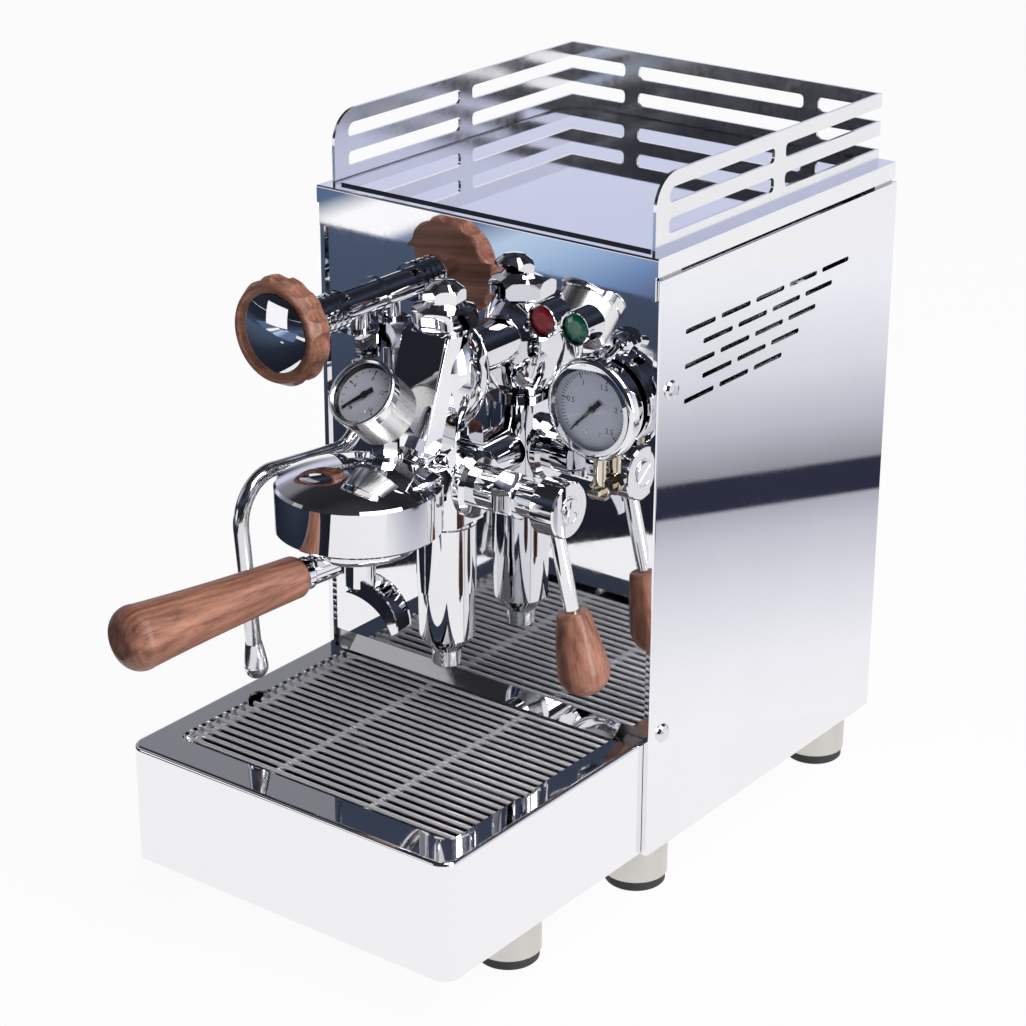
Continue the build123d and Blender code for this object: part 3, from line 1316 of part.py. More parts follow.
def steam_spindle():
    end = KNOB_FRONT - KNOB_RECESS - KNOB_POCKET
    return on_steam_axis(rod(SPINDLE_RADIUS, -STEAM_BODY_END + FIT_GAP, end))


def steam_knob_ring():
    back = -KNOB_BACK
    outline = Circle(KNOB_RADIUS)
    scallop = Circle(SCALLOP_RADIUS)
    outline -= PolarLocations(KNOB_RADIUS + SCALLOP_RADIUS - SCALLOP_DEPTH, KNOB_SCALLOPS) * scallop
    blank = Pos(0, 0, back) * extrude(outline, KNOB_THICK)
    soft = KNOB_ROUNDING
    shelf = KNOB_FRONT - KNOB_RECESS
    floor = shelf - KNOB_POCKET
    pocket = CAP_RADIUS + FIT_GAP
    bead_low = KNOB_FRONT - BEAD_HEIGHT
    form = make_face([
        Polyline(
            (KNOB_RADIUS - soft, 0, back),
            (SPINDLE_RADIUS, 0, back),
            (SPINDLE_RADIUS, 0, floor),
            (pocket, 0, floor),
            (pocket, 0, shelf),
            (BEAD_RADIUS - BEAD_HALF, 0, bead_low),
        ),
        ThreePointArc(
            (BEAD_RADIUS - BEAD_HALF, 0, bead_low),
            (BEAD_RADIUS, 0, KNOB_FRONT),
            (BEAD_RADIUS + BEAD_HALF, 0, bead_low),
        ),
        Polyline(
            (BEAD_RADIUS + BEAD_HALF, 0, bead_low),
            (KNOB_RADIUS, 0, KNOB_FRONT - KNOB_BEVEL),
            (KNOB_RADIUS, 0, back + soft),
        ),
        ThreePointArc(
            (KNOB_RADIUS, 0, back + soft),
            (KNOB_RADIUS - soft * 0.293, 0, back + soft * 0.293),
            (KNOB_RADIUS - soft, 0, back),
        ),
    ])
    return on_steam_axis(blank & revolve(form, Axis.Z))


def steam_knob_cap():
    seat = KNOB_FRONT - KNOB_RECESS - KNOB_POCKET
    edge = KNOB_FRONT - KNOB_RECESS + CAP_RIM
    crown = edge + CAP_CROWN
    shape = make_face([
        Polyline((0, 0, crown), (0, 0, seat), (CAP_RADIUS, 0, seat), (CAP_RADIUS, 0, edge)),
        ThreePointArc(
            (CAP_RADIUS, 0, edge),
            (CAP_RADIUS * 0.6, 0, edge + CAP_CROWN * 0.66),
            (CAP_FLAT_RADIUS, 0, crown),
        ),
        Line((CAP_FLAT_RADIUS, 0, crown), (0, 0, crown)),
    ])
    return on_steam_axis(revolve(shape, Axis.Z))


def wand_nut():
    cavity = WAND_BALL_RADIUS + FIT_GAP
    lip = WAND_BALL_Z - sqrt(WAND_BALL_RADIUS ** 2 - WAND_RADIUS ** 2) - 2 * FIT_GAP
    nut = hex_nut(WAND_NUT_FLATS, WAND_NUT_BOTTOM, WAND_NUT_TOP)
    nut -= rod(WAND_RADIUS + FIT_GAP, WAND_NUT_BOTTOM, lip)
    nut -= rod(cavity, lip, WAND_NUT_TOP)
    return Pos(STEAM_X, OUTLET_Y, 0) * nut


def wand_path():
    """Middle line of the bent wand, from the ball in its nut to the tip."""
    return FilletPolyline(
        (STEAM_X, OUTLET_Y, WAND_BALL_Z),
        (STEAM_X, OUTLET_Y, WAND_REAR_Z),
        (STEAM_X, WAND_FORWARD, WAND_FRONT_Z),
        (STEAM_X, WAND_END_Y, WAND_END_Z),
        radius=[WAND_UPPER_BEND, WAND_LOWER_BEND],
    )


def wand_tube():
    path = wand_path()
    start = Plane(origin=path @ 0, z_dir=path % 0)
    bore = WAND_RADIUS - WAND_WALL
    tube = sweep(start * (Circle(WAND_RADIUS) - Circle(bore)), path=path)
    ball = Sphere(WAND_BALL_RADIUS) - rod(bore, -WAND_BALL_RADIUS, WAND_BALL_RADIUS)
    return tube + Pos(STEAM_X, OUTLET_Y, WAND_BALL_Z) * ball


def wand_tip():
    path = wand_path()
    neck = WAND_RADIUS + WAND_TIP_NECK
    belly = (WAND_TIP_RADIUS, 0, WAND_TIP_LENGTH * 0.62)
    shape = make_face([
        Polyline((0, 0, WAND_TIP_LENGTH), (0, 0, 0), (neck, 0, 0)),
        ThreePointArc((neck, 0, 0), ((neck + WAND_TIP_RADIUS) / 2, 0, WAND_TIP_LENGTH * 0.26), belly),
        ThreePointArc(
            belly,
            (WAND_TIP_RADIUS * 0.8, 0, WAND_TIP_LENGTH * 0.89),
            (WAND_HOLE_FACE, 0, WAND_TIP_LENGTH),
        ),
        Line((WAND_HOLE_FACE, 0, WAND_TIP_LENGTH), (0, 0, WAND_TIP_LENGTH)),
    ])
    return Plane(origin=path @ 1, z_dir=path % 1) * revolve(shape, Axis.Z)


def lamp_bezels():
    bore = LAMP_RADIUS - LAMP_WALL
    bezel = turned(
        (0, -LAMP_SHANK),
        (LAMP_SHANK_RADIUS, -LAMP_SHANK),
        (LAMP_SHANK_RADIUS, 0),
        (LAMP_RADIUS, 0),
        (LAMP_RADIUS, LAMP_REACH - LAMP_EDGE),
        (LAMP_RADIUS - LAMP_EDGE, LAMP_REACH),
        (bore, LAMP_REACH - LAMP_EDGE / 2),
        (bore, LAMP_FLOOR),
        (0, LAMP_FLOOR),
    )
    return [on_panel(x, LAMP_Z) * bezel for x in (RED_LAMP_X, GREEN_LAMP_X)]


def lamp_lens(x):
    """Cut lens with a flat table and sloping facets, seated in its bezel."""
    radius = LAMP_RADIUS - LAMP_WALL - FIT_GAP
    girdle = LAMP_REACH - LENS_CROWN
    seat = Pos(0, 0, LAMP_FLOOR) * extrude(RegularPolygon(radius, LENS_SIDES), girdle - LAMP_FLOOR)
    table = Pos(0, 0, LAMP_REACH) * RegularPolygon(LENS_TABLE, LENS_SIDES)
    crown = loft([Pos(0, 0, girdle) * RegularPolygon(radius, LENS_SIDES), table], ruled=True)
    return on_panel(x, LAMP_Z) * (seat + crown)


def switch_bush():
    bush = rod(SWITCH_BUSH_RADIUS, -SWITCH_TAIL, SWITCH_BUSH_REACH)
    bush += hex_nut(SWITCH_NUT_FLATS, 0, SWITCH_NUT)
    floor = SWITCH_PIVOT - BAT_BALL_RADIUS - FIT_GAP
    bush -= rod(SWITCH_BORE, floor, SWITCH_BUSH_REACH)
    return on_panel(SWITCH_X, SWITCH_Z) * bush


def switch_bat():
    bat = turned(
        (0, 0),
        (BAT_ROOT_RADIUS, 0),
        (BAT_TIP_RADIUS, BAT_LENGTH - BAT_TIP_ROUND),
        (BAT_TIP_RADIUS * 0.6, BAT_LENGTH),
        (0, BAT_LENGTH),
    )
    bat += Sphere(BAT_BALL_RADIUS)
    return on_panel(SWITCH_X, SWITCH_Z) * Pos(0, 0, SWITCH_PIVOT) * Rot(BAT_REST, 0, 0) * bat


def boiler():
    half = BOILER_LENGTH / 2
    shell = rod(BOILER_RADIUS, -half, half)
    shell = fillet(shell.edges().filter_by(GeomType.CIRCLE), BOILER_ROUNDING)
    legs = [
        block(
            (x - BOILER_LEG / 2, BOILER_Y - BOILER_LEG_DEPTH / 2, BASE_TOP),
            (x + BOILER_LEG / 2, BOILER_Y + BOILER_LEG_DEPTH / 2, BOILER_Z),
        )
        for x in (-BOILER_LEG_X, BOILER_LEG_X)
    ]
    inside = rod(BOILER_RADIUS - BOILER_WALL, BOILER_WALL - half, half - BOILER_WALL)
    inside = fillet(inside.edges().filter_by(GeomType.CIRCLE), BOILER_ROUNDING - BOILER_WALL)
    inside += rod(BOILER_PORT_RADIUS, -half, 0)
    place = Pos(0, BOILER_Y, BOILER_Z) * RIGHTWARD
    return place * shell + legs - place * inside


def heating_element():
    flange = rod(HEATER_FLANGE_RADIUS, 0, HEATER_FLANGE)
    for x in (-HEATER_STUD_X, HEATER_STUD_X):
        flange += Pos(x, 0, 0) * rod(HEATER_STUD_RADIUS, HEATER_FLANGE, HEATER_FLANGE + HEATER_STUD)
    return Pos(-BOILER_LENGTH / 2, BOILER_Y, BOILER_Z) * Rot(0, -90, 0) * flange


def water_tank():
    front = BOILER_Y + BOILER_RADIUS + TANK_FRONT_GAP
    rear = INNER_REAR - TANK_REAR_GAP
    top = BASE_TOP + TANK_HEIGHT
    tank = block((-TANK_HALF, front, BASE_TOP), (TANK_HALF, rear, top))
    tank = fillet(tank.edges().filter_by(Axis.Z), TANK_CORNER)
    inner = block(
        (TANK_WALL - TANK_HALF, front + TANK_WALL, BASE_TOP + TANK_WALL),
        (TANK_HALF - TANK_WALL, rear - TANK_WALL, top),
    )
    return tank - fillet(inner.edges().filter_by(Axis.Z), TANK_CORNER - TANK_WALL)


def vibration_pump():
    foot_half = PUMP_FOOT / 2
    foot = block(
        (-foot_half, -foot_half, BASE_TOP),
        (foot_half, foot_half, BASE_TOP + PUMP_FOOT_HEIGHT),
    )
    axis = BASE_TOP + PUMP_FOOT_HEIGHT + PUMP_RADIUS - PUMP_SINK
    barrel = Pos(0, PUMP_LENGTH / 2, axis) * FORWARD * turned(
        (0, 0),
        (PUMP_RADIUS * 0.4, 0),
        (PUMP_RADIUS * 0.4, PUMP_LENGTH * 0.2),
        (PUMP_RADIUS, PUMP_LENGTH * 0.2),
        (PUMP_RADIUS, PUMP_LENGTH * 0.75),
        (PUMP_RADIUS * 0.6, PUMP_LENGTH * 0.75),
        (PUMP_RADIUS * 0.6, PUMP_LENGTH),
        (0, PUMP_LENGTH),
    )
    return Pos(PUMP_X, PUMP_Y, 0) * (foot + barrel)


def control_box():
    width, depth, height = BOX_SIZE
    box = Pos(BOX_X, BOX_Y, BASE_TOP + height / 2) * Box(width, depth, height)
    return fillet(box.edges().filter_by(Axis.Z), BOX_CORNER)


def gauge_nodes(name, place, gauge):
    """The four pieces of one gauge at its place."""
    return {
        f"{name}_case": place * gauge_case(gauge),
        f"{name}_dial": place * gauge_dial(gauge),
        f"{name}_needle": place * gauge_needle(gauge),
        f"{name}_lens": place * gauge_lens(gauge),
    }


def all_nodes():
    right = side_panel_right()
    nodes = {
        "base_frame": base_frame(),
        "side_panel_right": right,
        "side_panel_left": mirror(right, Plane.YZ),
        "rear_panel": rear_panel(),
        "front_panel": front_panel(),
        "top_cover": top_cover(),
        "cup_tray": cup_tray(),
        "cup_rail": cup_rail(),
        "panel_screws": panel_screws(),
        "foot_sleeves": foot_sleeves(),
        "foot_pads": foot_pads(),
        "power_inlet": power_inlet(),
        "drip_tray": drip_tray(),
        "drip_grate": drip_grate(),
        "group_body": group_body(),
        "group_collar_nut": group_collar_nut(),
        "group_cap_nut": group_cap_nut(),
        "discharge_body": discharge_body(),
        "discharge_tip": discharge_tip(),
        "group_gasket": group_gasket(),
        "shower_screen": shower_screen(),
        "lever_bush": lever_bush(),
        "lever_gland": lever_gland(),
        "lever_shaft": lever_shaft(),
        "lever_hub": lever_hub(),
        "lever_arm": lever_arm(),
        "lever_knob": lever_knob(),
        "group_gauge_stem": group_gauge_stem(),
        "boiler_gauge_fitting": boiler_gauge_fitting(),
        "portafilter_body": portafilter_body(),
        "filter_basket": filter_basket(),
        "portafilter_spout": portafilter_spout(),
        "portafilter_ferrule": portafilter_ferrule(),
        "portafilter_handle": portafilter_handle(),
        "steam_valve_body": steam_valve_body(),
        "steam_valve_bonnet": steam_valve_bonnet(),
        "steam_spindle": steam_spindle(),
        "steam_knob_ring": steam_knob_ring(),
        "steam_knob_cap": steam_knob_cap(),
        "wand_nut": wand_nut(),
        "wand_tube": wand_tube(),
        "wand_tip": wand_tip(),
        "lamp_bezels": lamp_bezels(),
        "lamp_lens_red": lamp_lens(RED_LAMP_X),
        "lamp_lens_green": lamp_lens(GREEN_LAMP_X),
        "switch_bush": switch_bush(),
        "switch_bat": switch_bat(),
        "boiler": boiler(),
        "heating_element": heating_element(),
        "water_tank": water_tank(),
        "vibration_pump": vibration_pump(),
        "control_box": control_box(),
    }
    nodes.update(gauge_nodes("group_gauge", group_gauge_place(), GROUP_GAUGE))
    nodes.update(gauge_nodes("boiler_gauge", boiler_gauge_place(), BOILER_GAUGE))
    return nodes


def as_one(shape):
    """A node's solids as one shape to write."""
    return Compound(shape) if isinstance(shape, list) else shape


def main():
    os.makedirs("parts", exist_ok=True)
    nodes = {name: as_one(shape) for name, shape in all_nodes().items()}
    boxes = [shape.bounding_box() for shape in nodes.values()]
    middle = (min(box.min.Y for box in boxes) + max(box.max.Y for box in boxes)) / 2
    print(f"case front lies at Y = {-middle:.3f}")
    for name, shape in nodes.items():
        export_step(Pos(0, -middle, 0) * shape, f"parts/{name}.step")


main()
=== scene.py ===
# %% [markdown]
# # A polished espresso machine, dressed in Blender
# The solid parts of the machine come in ready made, each one at its real place and in metres.
# This lesson gives them their finishes, adds the fine details that a buyer would look for,
# and sets up a small photo studio round them. Polished steel shows its surroundings and little
# else, so the studio matters as much as the materials.

# %% Load the machine
import json
import math

import bpy
from mathutils import Matrix, Vector


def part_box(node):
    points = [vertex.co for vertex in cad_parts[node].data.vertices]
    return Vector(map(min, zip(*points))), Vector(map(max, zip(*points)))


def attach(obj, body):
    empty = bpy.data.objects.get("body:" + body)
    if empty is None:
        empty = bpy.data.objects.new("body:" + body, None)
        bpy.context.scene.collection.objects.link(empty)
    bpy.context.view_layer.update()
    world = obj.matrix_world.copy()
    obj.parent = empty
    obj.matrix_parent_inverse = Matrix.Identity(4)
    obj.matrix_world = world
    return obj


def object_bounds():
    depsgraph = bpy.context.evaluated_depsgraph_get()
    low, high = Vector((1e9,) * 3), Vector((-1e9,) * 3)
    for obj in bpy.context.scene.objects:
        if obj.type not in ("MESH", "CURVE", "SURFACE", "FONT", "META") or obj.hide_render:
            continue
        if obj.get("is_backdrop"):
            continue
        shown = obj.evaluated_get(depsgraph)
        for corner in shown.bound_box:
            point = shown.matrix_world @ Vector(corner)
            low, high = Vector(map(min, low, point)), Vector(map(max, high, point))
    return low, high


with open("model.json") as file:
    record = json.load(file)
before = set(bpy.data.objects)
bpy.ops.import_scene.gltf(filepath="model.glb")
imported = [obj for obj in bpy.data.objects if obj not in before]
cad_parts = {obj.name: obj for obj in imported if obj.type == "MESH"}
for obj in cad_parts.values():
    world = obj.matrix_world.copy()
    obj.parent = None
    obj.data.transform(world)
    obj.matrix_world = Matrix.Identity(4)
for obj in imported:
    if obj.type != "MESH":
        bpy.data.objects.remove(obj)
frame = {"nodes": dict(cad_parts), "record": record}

MM = 0.001
scene = bpy.context.scene
nodes = frame["nodes"]
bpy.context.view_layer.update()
case_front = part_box("side_panel_right")[0].y

# %% [markdown]
# ## Small helpers
# Blender's operators act on whatever is selected. The import leaves every part selected, so each
# step below starts by clearing the selection, and picks its faces by where they lie or face. A face
# counts as facing a way when at least nine tenths of its normal point that way.

# %% Selection and placing helpers
FACING = 0.9


def clear_selection():
    if bpy.context.object and bpy.context.object.mode != "OBJECT":
        bpy.ops.object.mode_set(mode="OBJECT")
    bpy.ops.object.select_all(action="DESELECT")


def select(piece):
    """Selects one piece alone and makes it the active one."""
    clear_selection()
    piece.select_set(True)
    bpy.context.view_layer.objects.active = piece


def edit(piece):
    """Opens one piece in edit mode with all of it selected."""
    select(piece)
    bpy.ops.object.mode_set(mode="EDIT")
    bpy.ops.mesh.select_mode(type="FACE")
    bpy.ops.mesh.select_all(action="SELECT")


def pick_faces(piece, wanted):
    """In edit mode, selects the faces for which wanted(centre, normal) is true."""
    bpy.ops.mesh.select_all(action="DESELECT")
    bpy.ops.object.mode_set(mode="OBJECT")
    for face in piece.data.polygons:
        face.select = bool(wanted(face.center, face.normal))
    bpy.ops.object.mode_set(mode="EDIT")


def looks_up(centre, normal):
    return normal.z > FACING


def seat(piece, matrix):
    """Puts a piece modelled at the origin at its real place, with that place in its mesh."""
    bpy.ops.object.mode_set(mode="OBJECT")
    piece.data.transform(matrix @ piece.matrix_world)
    piece.matrix_world = Matrix.Identity(4)
    piece.data.update()


def paint(piece, material):
    """Gives a piece one finish in place of any that it has."""
    piece.data.materials.clear()
    piece.data.materials.append(material)


def settle(piece, name, body, material):
    """Names a finished piece, gives it its finish and lets it ride on its body."""
    piece.name = name
    piece.data.name = name
    paint(piece, material)
    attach(piece, body)


def middle(node):
    low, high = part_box(node)
    return (low + high) / 2


print("helpers ready for", len(nodes), "solids")

# %% [markdown]
# A finish is a small net of nodes, and the next helpers add a node with its settings, or a link, in one
# line. The Mix node keeps a pair of sockets for every kind of value, all with the same names, so the
# sockets that are used below are known by their numbers.

# %% Node helpers
MIX_FACTOR = 0
NUMBER_A = 2
NUMBER_B = 3
NUMBER_OUT = 0
COLOUR_A = 6
COLOUR_B = 7
COLOUR_OUT = 2


def set_up(node, **settings):
    """Settings whose names are sockets, with _ for a space, go to the sockets; the rest to the node."""
    for key, value in settings.items():
        label = key.replace("_", " ")
        if label in node.inputs:
            node.inputs[label].default_value = value
        else:
            setattr(node, key, value)
    return node


def add(tree, kind, **settings):
    """Adds a shader node and sets it up."""
    return set_up(tree.nodes.new("ShaderNode" + kind), **settings)


def link(source, output, target, socket):
    """Links an output of one node to an input of another, each known by its name or number."""
    source.id_data.links.new(source.outputs[output], target.inputs[socket])


def colour_mix(tree, first=None, second=None, **settings):
    """Adds a Mix node for colours, with those of its two colours that are fixed."""
    node = add(tree, "Mix", data_type="RGBA", **settings)
    if first:
        node.inputs[COLOUR_A].default_value = (*first, 1)
    if second:
        node.inputs[COLOUR_B].default_value = (*second, 1)
    return node


def ramp(tree, stops):
    """A colour ramp from a list of places and colours."""
    node = add(tree, "ValToRGB")
    band = node.color_ramp
    while len(band.elements) < len(stops):
        band.elements.new(1.0)
    for element, (place, colour) in zip(band.elements, stops):
        element.position = place
        element.color = (*colour, 1)
    return node


def new_group(name, inputs, outputs):
    """An empty node group with named sockets, and the nodes at its two ends."""
    group = bpy.data.node_groups.new(name, "ShaderNodeTree")
    for label, kind, value in inputs:
        socket = group.interface.new_socket(name=label, in_out="INPUT", socket_type="NodeSocket" + kind)
        if value is not None:
            socket.default_value = value
    for label, kind in outputs:
        group.interface.new_socket(name=label, in_out="OUTPUT", socket_type="NodeSocket" + kind)
    start = group.nodes.new("NodeGroupInput")
    end = group.nodes.new("NodeGroupOutput")
    return group, start, end


def new_material(name):
    """A new material, its tree and shader, and a node with the coordinates of the object."""
    material = bpy.data.materials.new(name)
    material.use_nodes = True
    tree = material.node_tree
    shader = tree.nodes["Principled BSDF"]
    place = add(tree, "TexCoord")
    return material, tree, shader, place


print("node helpers ready")

# %% [markdown]
# ## Effects shared by many finishes
# Two effects turn up again and again: the faint haze that wiping leaves on polished metal, and
# the grain of oiled walnut. Each is made once as a node group with named sockets, and each
# material then sets its own amounts. The haze is the product of a broad and a fine noise, and a third,
# slow noise swells the surface.

# %% Node group: wiped polish
polish, start, end = new_group(
    "wiped_polish",
    [("Vector", "Vector", None), ("Low", "Float", 0.03), ("High", "Float", 0.08), ("Wave", "Float", 3.0)],
    [("Roughness", "Float"), ("Height", "Float"), ("Tint", "Float")],
)
smear = add(polish, "TexNoise", Scale=18.0, Detail=4.0, Roughness=0.6)
fine = add(polish, "TexNoise", Scale=240.0, Detail=3.0, Roughness=0.7)
swell = add(polish, "TexNoise", Detail=1.0, Roughness=0.4)
haze = add(polish, "Math", operation="MULTIPLY")
spread = add(polish, "MapRange", clamp=True, From_Min=0.15, From_Max=0.4)
for texture in (smear, fine, swell):
    link(start, "Vector", texture, "Vector")
link(start, "Wave", swell, "Scale")
link(smear, "Fac", haze, 0)
link(fine, "Fac", haze, 1)
link(haze, 0, spread, "Value")
link(start, "Low", spread, "To Min")
link(start, "High", spread, "To Max")
link(spread, "Result", end, "Roughness")
link(swell, "Fac", end, "Height")
link(smear, "Fac", end, "Tint")
print("group", polish.name, "with", len(polish.nodes), "nodes")

# %% [markdown]
# Walnut shows long brown streaks, darker growth lines that wander, and short open pores. All three
# are noise or waves stretched along the grain. The group reads coordinates whose X runs with the
# grain, so a Mapping node in each material turns the grain along that piece.

# %% Node group: walnut grain
GROWTH_SHARE = 0.10
grain, start, end = new_group(
    "walnut_grain",
    [("Vector", "Vector", None), ("Light", "Color", (0.38, 0.175, 0.115, 1)),
     ("Dark", "Color", (0.115, 0.044, 0.031, 1))],
    [("Color", "Color"), ("Roughness", "Float"), ("Height", "Float")],
)
stretch = add(grain, "Mapping", Scale=(2.6, 170.0, 170.0))
streak = add(grain, "TexNoise", Scale=1.0, Detail=6.0, Roughness=0.62, Distortion=0.6)
growth = add(
    grain, "TexWave", wave_type="BANDS", bands_direction="Y",
    Scale=0.5, Distortion=6.0, Detail=3.0, Detail_Scale=0.7,
)
pore_map = add(grain, "Mapping", Scale=(16.0, 1500.0, 1500.0))
pores = add(grain, "TexNoise", Scale=1.0, Detail=2.0, Roughness=0.5)
pore_cut = add(grain, "MapRange", clamp=True, From_Min=0.36, From_Max=0.44)
blend = add(grain, "Math", operation="MULTIPLY_ADD")
blend.inputs[1].default_value = GROWTH_SHARE
tone = add(grain, "MapRange", clamp=True, From_Min=0.34, From_Max=0.74)
colour = colour_mix(grain)
pore_tint = colour_mix(grain, (0.78, 0.73, 0.71), (1, 1, 1))
pore_dark = colour_mix(grain, blend_type="MULTIPLY")
pore_dark.inputs[MIX_FACTOR].default_value = 1.0
sheen = add(grain, "MapRange", clamp=True, To_Min=0.48, To_Max=0.33)
link(start, "Vector", stretch, "Vector")
link(start, "Vector", pore_map, "Vector")
link(stretch, "Vector", streak, "Vector")
link(stretch, "Vector", growth, "Vector")
link(pore_map, "Vector", pores, "Vector")
link(growth, "Fac", blend, 0)
link(streak, "Fac", blend, 2)
link(blend, 0, tone, "Value")
link(tone, "Result", colour, MIX_FACTOR)
link(start, "Dark", colour, COLOUR_A)
link(start, "Light", colour, COLOUR_B)
link(pores, "Fac", pore_cut, "Value")
link(pore_cut, "Result", pore_tint, MIX_FACTOR)
link(colour, COLOUR_OUT, pore_dark, COLOUR_A)
link(pore_tint, COLOUR_OUT, pore_dark, COLOUR_B)
link(pore_dark, COLOUR_OUT, end, "Color")
link(pore_cut, "Result", sheen, "Value")
link(sheen, "Result", end, "Roughness")
link(pore_cut, "Result", end, "Height")
print("group", grain.name, "with", len(grain.nodes), "nodes")

# %% [markdown]
# ## Metal finishes
# Mirror sheet, chrome plate, bright wire and satin tube differ in how sharp their reflections are
# and how much the surface swells. One function builds them all from the wiped polish group. The wire
# of the grate is only partly metal to the shader: it scatters some light, and so stays pale above
# the dark pan.

# %% Metals


def metal(name, bright, dull, low, high, wave=3.0, bump=0.0, metallic=1.0):
    """Bare or plated metal: two close tints, and a range of roughness."""
    material, tree, shader, place = new_material(name)
    set_up(shader, Metallic=metallic)
    group = add(tree, "Group", node_tree=polish, Low=low, High=high, Wave=wave)
    tint = colour_mix(tree, bright, dull)
    link(place, "Object", group, "Vector")
    link(group, "Tint", tint, MIX_FACTOR)
    link(tint, COLOUR_OUT, shader, "Base Color")
    link(group, "Roughness", shader, "Roughness")
    if bump:
        relief = add(tree, "Bump", Strength=bump, Distance=2.0 * MM)
        link(group, "Height", relief, "Height")
        link(relief, "Normal", shader, "Normal")
    return material


mirror_sheet = metal("mirror_sheet", (0.90, 0.90, 0.92), (0.84, 0.84, 0.87), 0.015, 0.05, 2.5, 0.02)
chrome_plate = metal("chrome_plate", (0.86, 0.86, 0.88), (0.78, 0.78, 0.81), 0.01, 0.05)
bright_steel = metal("bright_steel", (0.80, 0.80, 0.81), (0.68, 0.68, 0.70), 0.08, 0.18)
satin_steel = metal("satin_steel", (0.68, 0.66, 0.62), (0.56, 0.54, 0.51), 0.26, 0.40)
drawn_wire = metal("drawn_wire", (0.95, 0.95, 0.96), (0.88, 0.88, 0.90), 0.08, 0.16, metallic=0.62)
rolled_steel = metal("rolled_steel", (0.88, 0.88, 0.90), (0.80, 0.80, 0.83), 0.13, 0.22)
turned_brass = metal("turned_brass", (0.80, 0.73, 0.60), (0.66, 0.57, 0.44), 0.10, 0.24)
print("wiped polish is used", polish.users, "times")

# %% [markdown]
# ## Walnut for the three things a hand takes hold of
# The portafilter handle, the lever knob and the steam knob are turned from oiled walnut. The grain
# runs along the handle and the knob, and straight across the ring.

# %% Walnut


def walnut(name, centre, along):
    """Walnut whose grain runs along a direction, centred on the piece."""
    material, tree, shader, place = new_material(name)
    set_up(shader, Specular_IOR_Level=0.28)
    turn = Vector(along).to_track_quat("X", "Z").to_euler()
    mapping = add(tree, "Mapping", vector_type="TEXTURE", Location=centre, Rotation=turn)
    group = add(tree, "Group", node_tree=grain)
    relief = add(tree, "Bump", Strength=0.12, Distance=0.3 * MM)
    link(place, "Object", mapping, "Vector")
    link(mapping, "Vector", group, "Vector")
    link(group, "Color", shader, "Base Color")
    link(group, "Roughness", shader, "Roughness")
    link(group, "Height", relief, "Height")
    link(relief, "Normal", shader, "Normal")
    return material


handle_way = middle("portafilter_handle") - middle("portafilter_ferrule")
knob_way = middle("lever_knob") - middle("lever_hub")
ring_way = (1, 0, 0.15)
handle_walnut = walnut("handle_walnut", middle("portafilter_handle"), handle_way)
knob_walnut = walnut("knob_walnut", middle("lever_knob"), knob_way)
ring_walnut = walnut("ring_walnut", middle("steam_knob_ring"), ring_way)
print("handle runs along", [round(v, 2) for v in handle_way.normalized()])

# %% [markdown]
# ## Plastics, rubber, glass and paint
# Rubber and moulded plastic scatter light softly and carry a fine grain. The lamp lenses are clear
# coloured plastic, deep in colour because their bulbs are off.

# %% Other finishes
GLOSS_SPREAD = 0.15


def moulded(name, light, dark, rough, scale=400.0, bump=0.15, coat=0.0):
    """Moulded or painted surface: two close colours and a fine pebble."""
    material, tree, shader, place = new_material(name)
    set_up(shader, Coat_Weight=coat)
    noise = add(tree, "TexNoise", Scale=scale, Detail=4.0, Roughness=0.6)
    tint = colour_mix(tree, dark, light)
    smooth = rough * (1 - GLOSS_SPREAD)
    dull = rough * (1 + GLOSS_SPREAD)
    gloss = add(tree, "MapRange", To_Min=smooth, To_Max=dull)
    relief = add(tree, "Bump", Strength=bump, Distance=0.2 * MM)
    link(place, "Object", noise, "Vector")
    link(noise, "Fac", tint, MIX_FACTOR)
    link(noise, "Fac", gloss, "Value")
    link(noise, "Fac", relief, "Height")
    link(tint, COLOUR_OUT, shader, "Base Color")
    link(gloss, "Result", shader, "Roughness")
    link(relief, "Normal", shader, "Normal")
    return material


black_rubber = moulded("black_rubber", (0.022, 0.022, 0.024), (0.010, 0.010, 0.011), 0.6)
black_plastic = moulded("black_plastic", (0.03, 0.03, 0.032), (0.018, 0.018, 0.02), 0.45)
tank_plastic = moulded("tank_plastic", (0.80, 0.82, 0.83), (0.72, 0.75, 0.77), 0.3, 60.0, 0.05)
dial_silver = moulded("dial_silver", (0.72, 0.76, 0.90), (0.67, 0.71, 0.85), 0.4, 900.0, 0.05)
dial_pale = moulded("dial_pale", (0.80, 0.81, 0.92), (0.75, 0.76, 0.87), 0.4, 900.0, 0.05)
needle_black = moulded("needle_black", (0.014, 0.014, 0.016), (0.008, 0.008, 0.009), 0.35, 700.0, 0.05)
ink_black = moulded("ink_black", (0.02, 0.02, 0.022), (0.012, 0.012, 0.014), 0.5, 700.0, 0.05)
red_lens = moulded("red_lens", (0.26, 0.006, 0.014), (0.11, 0.002, 0.006), 0.26, 120.0, 0.1, 0.15)
green_lens = moulded("green_lens", (0.0, 0.15, 0.085), (0.0, 0.055, 0.032), 0.26, 120.0, 0.1, 0.15)
print("finishes so far:", len(bpy.data.materials))

# %% [markdown]
# The glass of the gauges lets all light through. It bends light less than real glass does, so that the
# dial behind it keeps its place, and the wiped polish gives it a trace of haze.

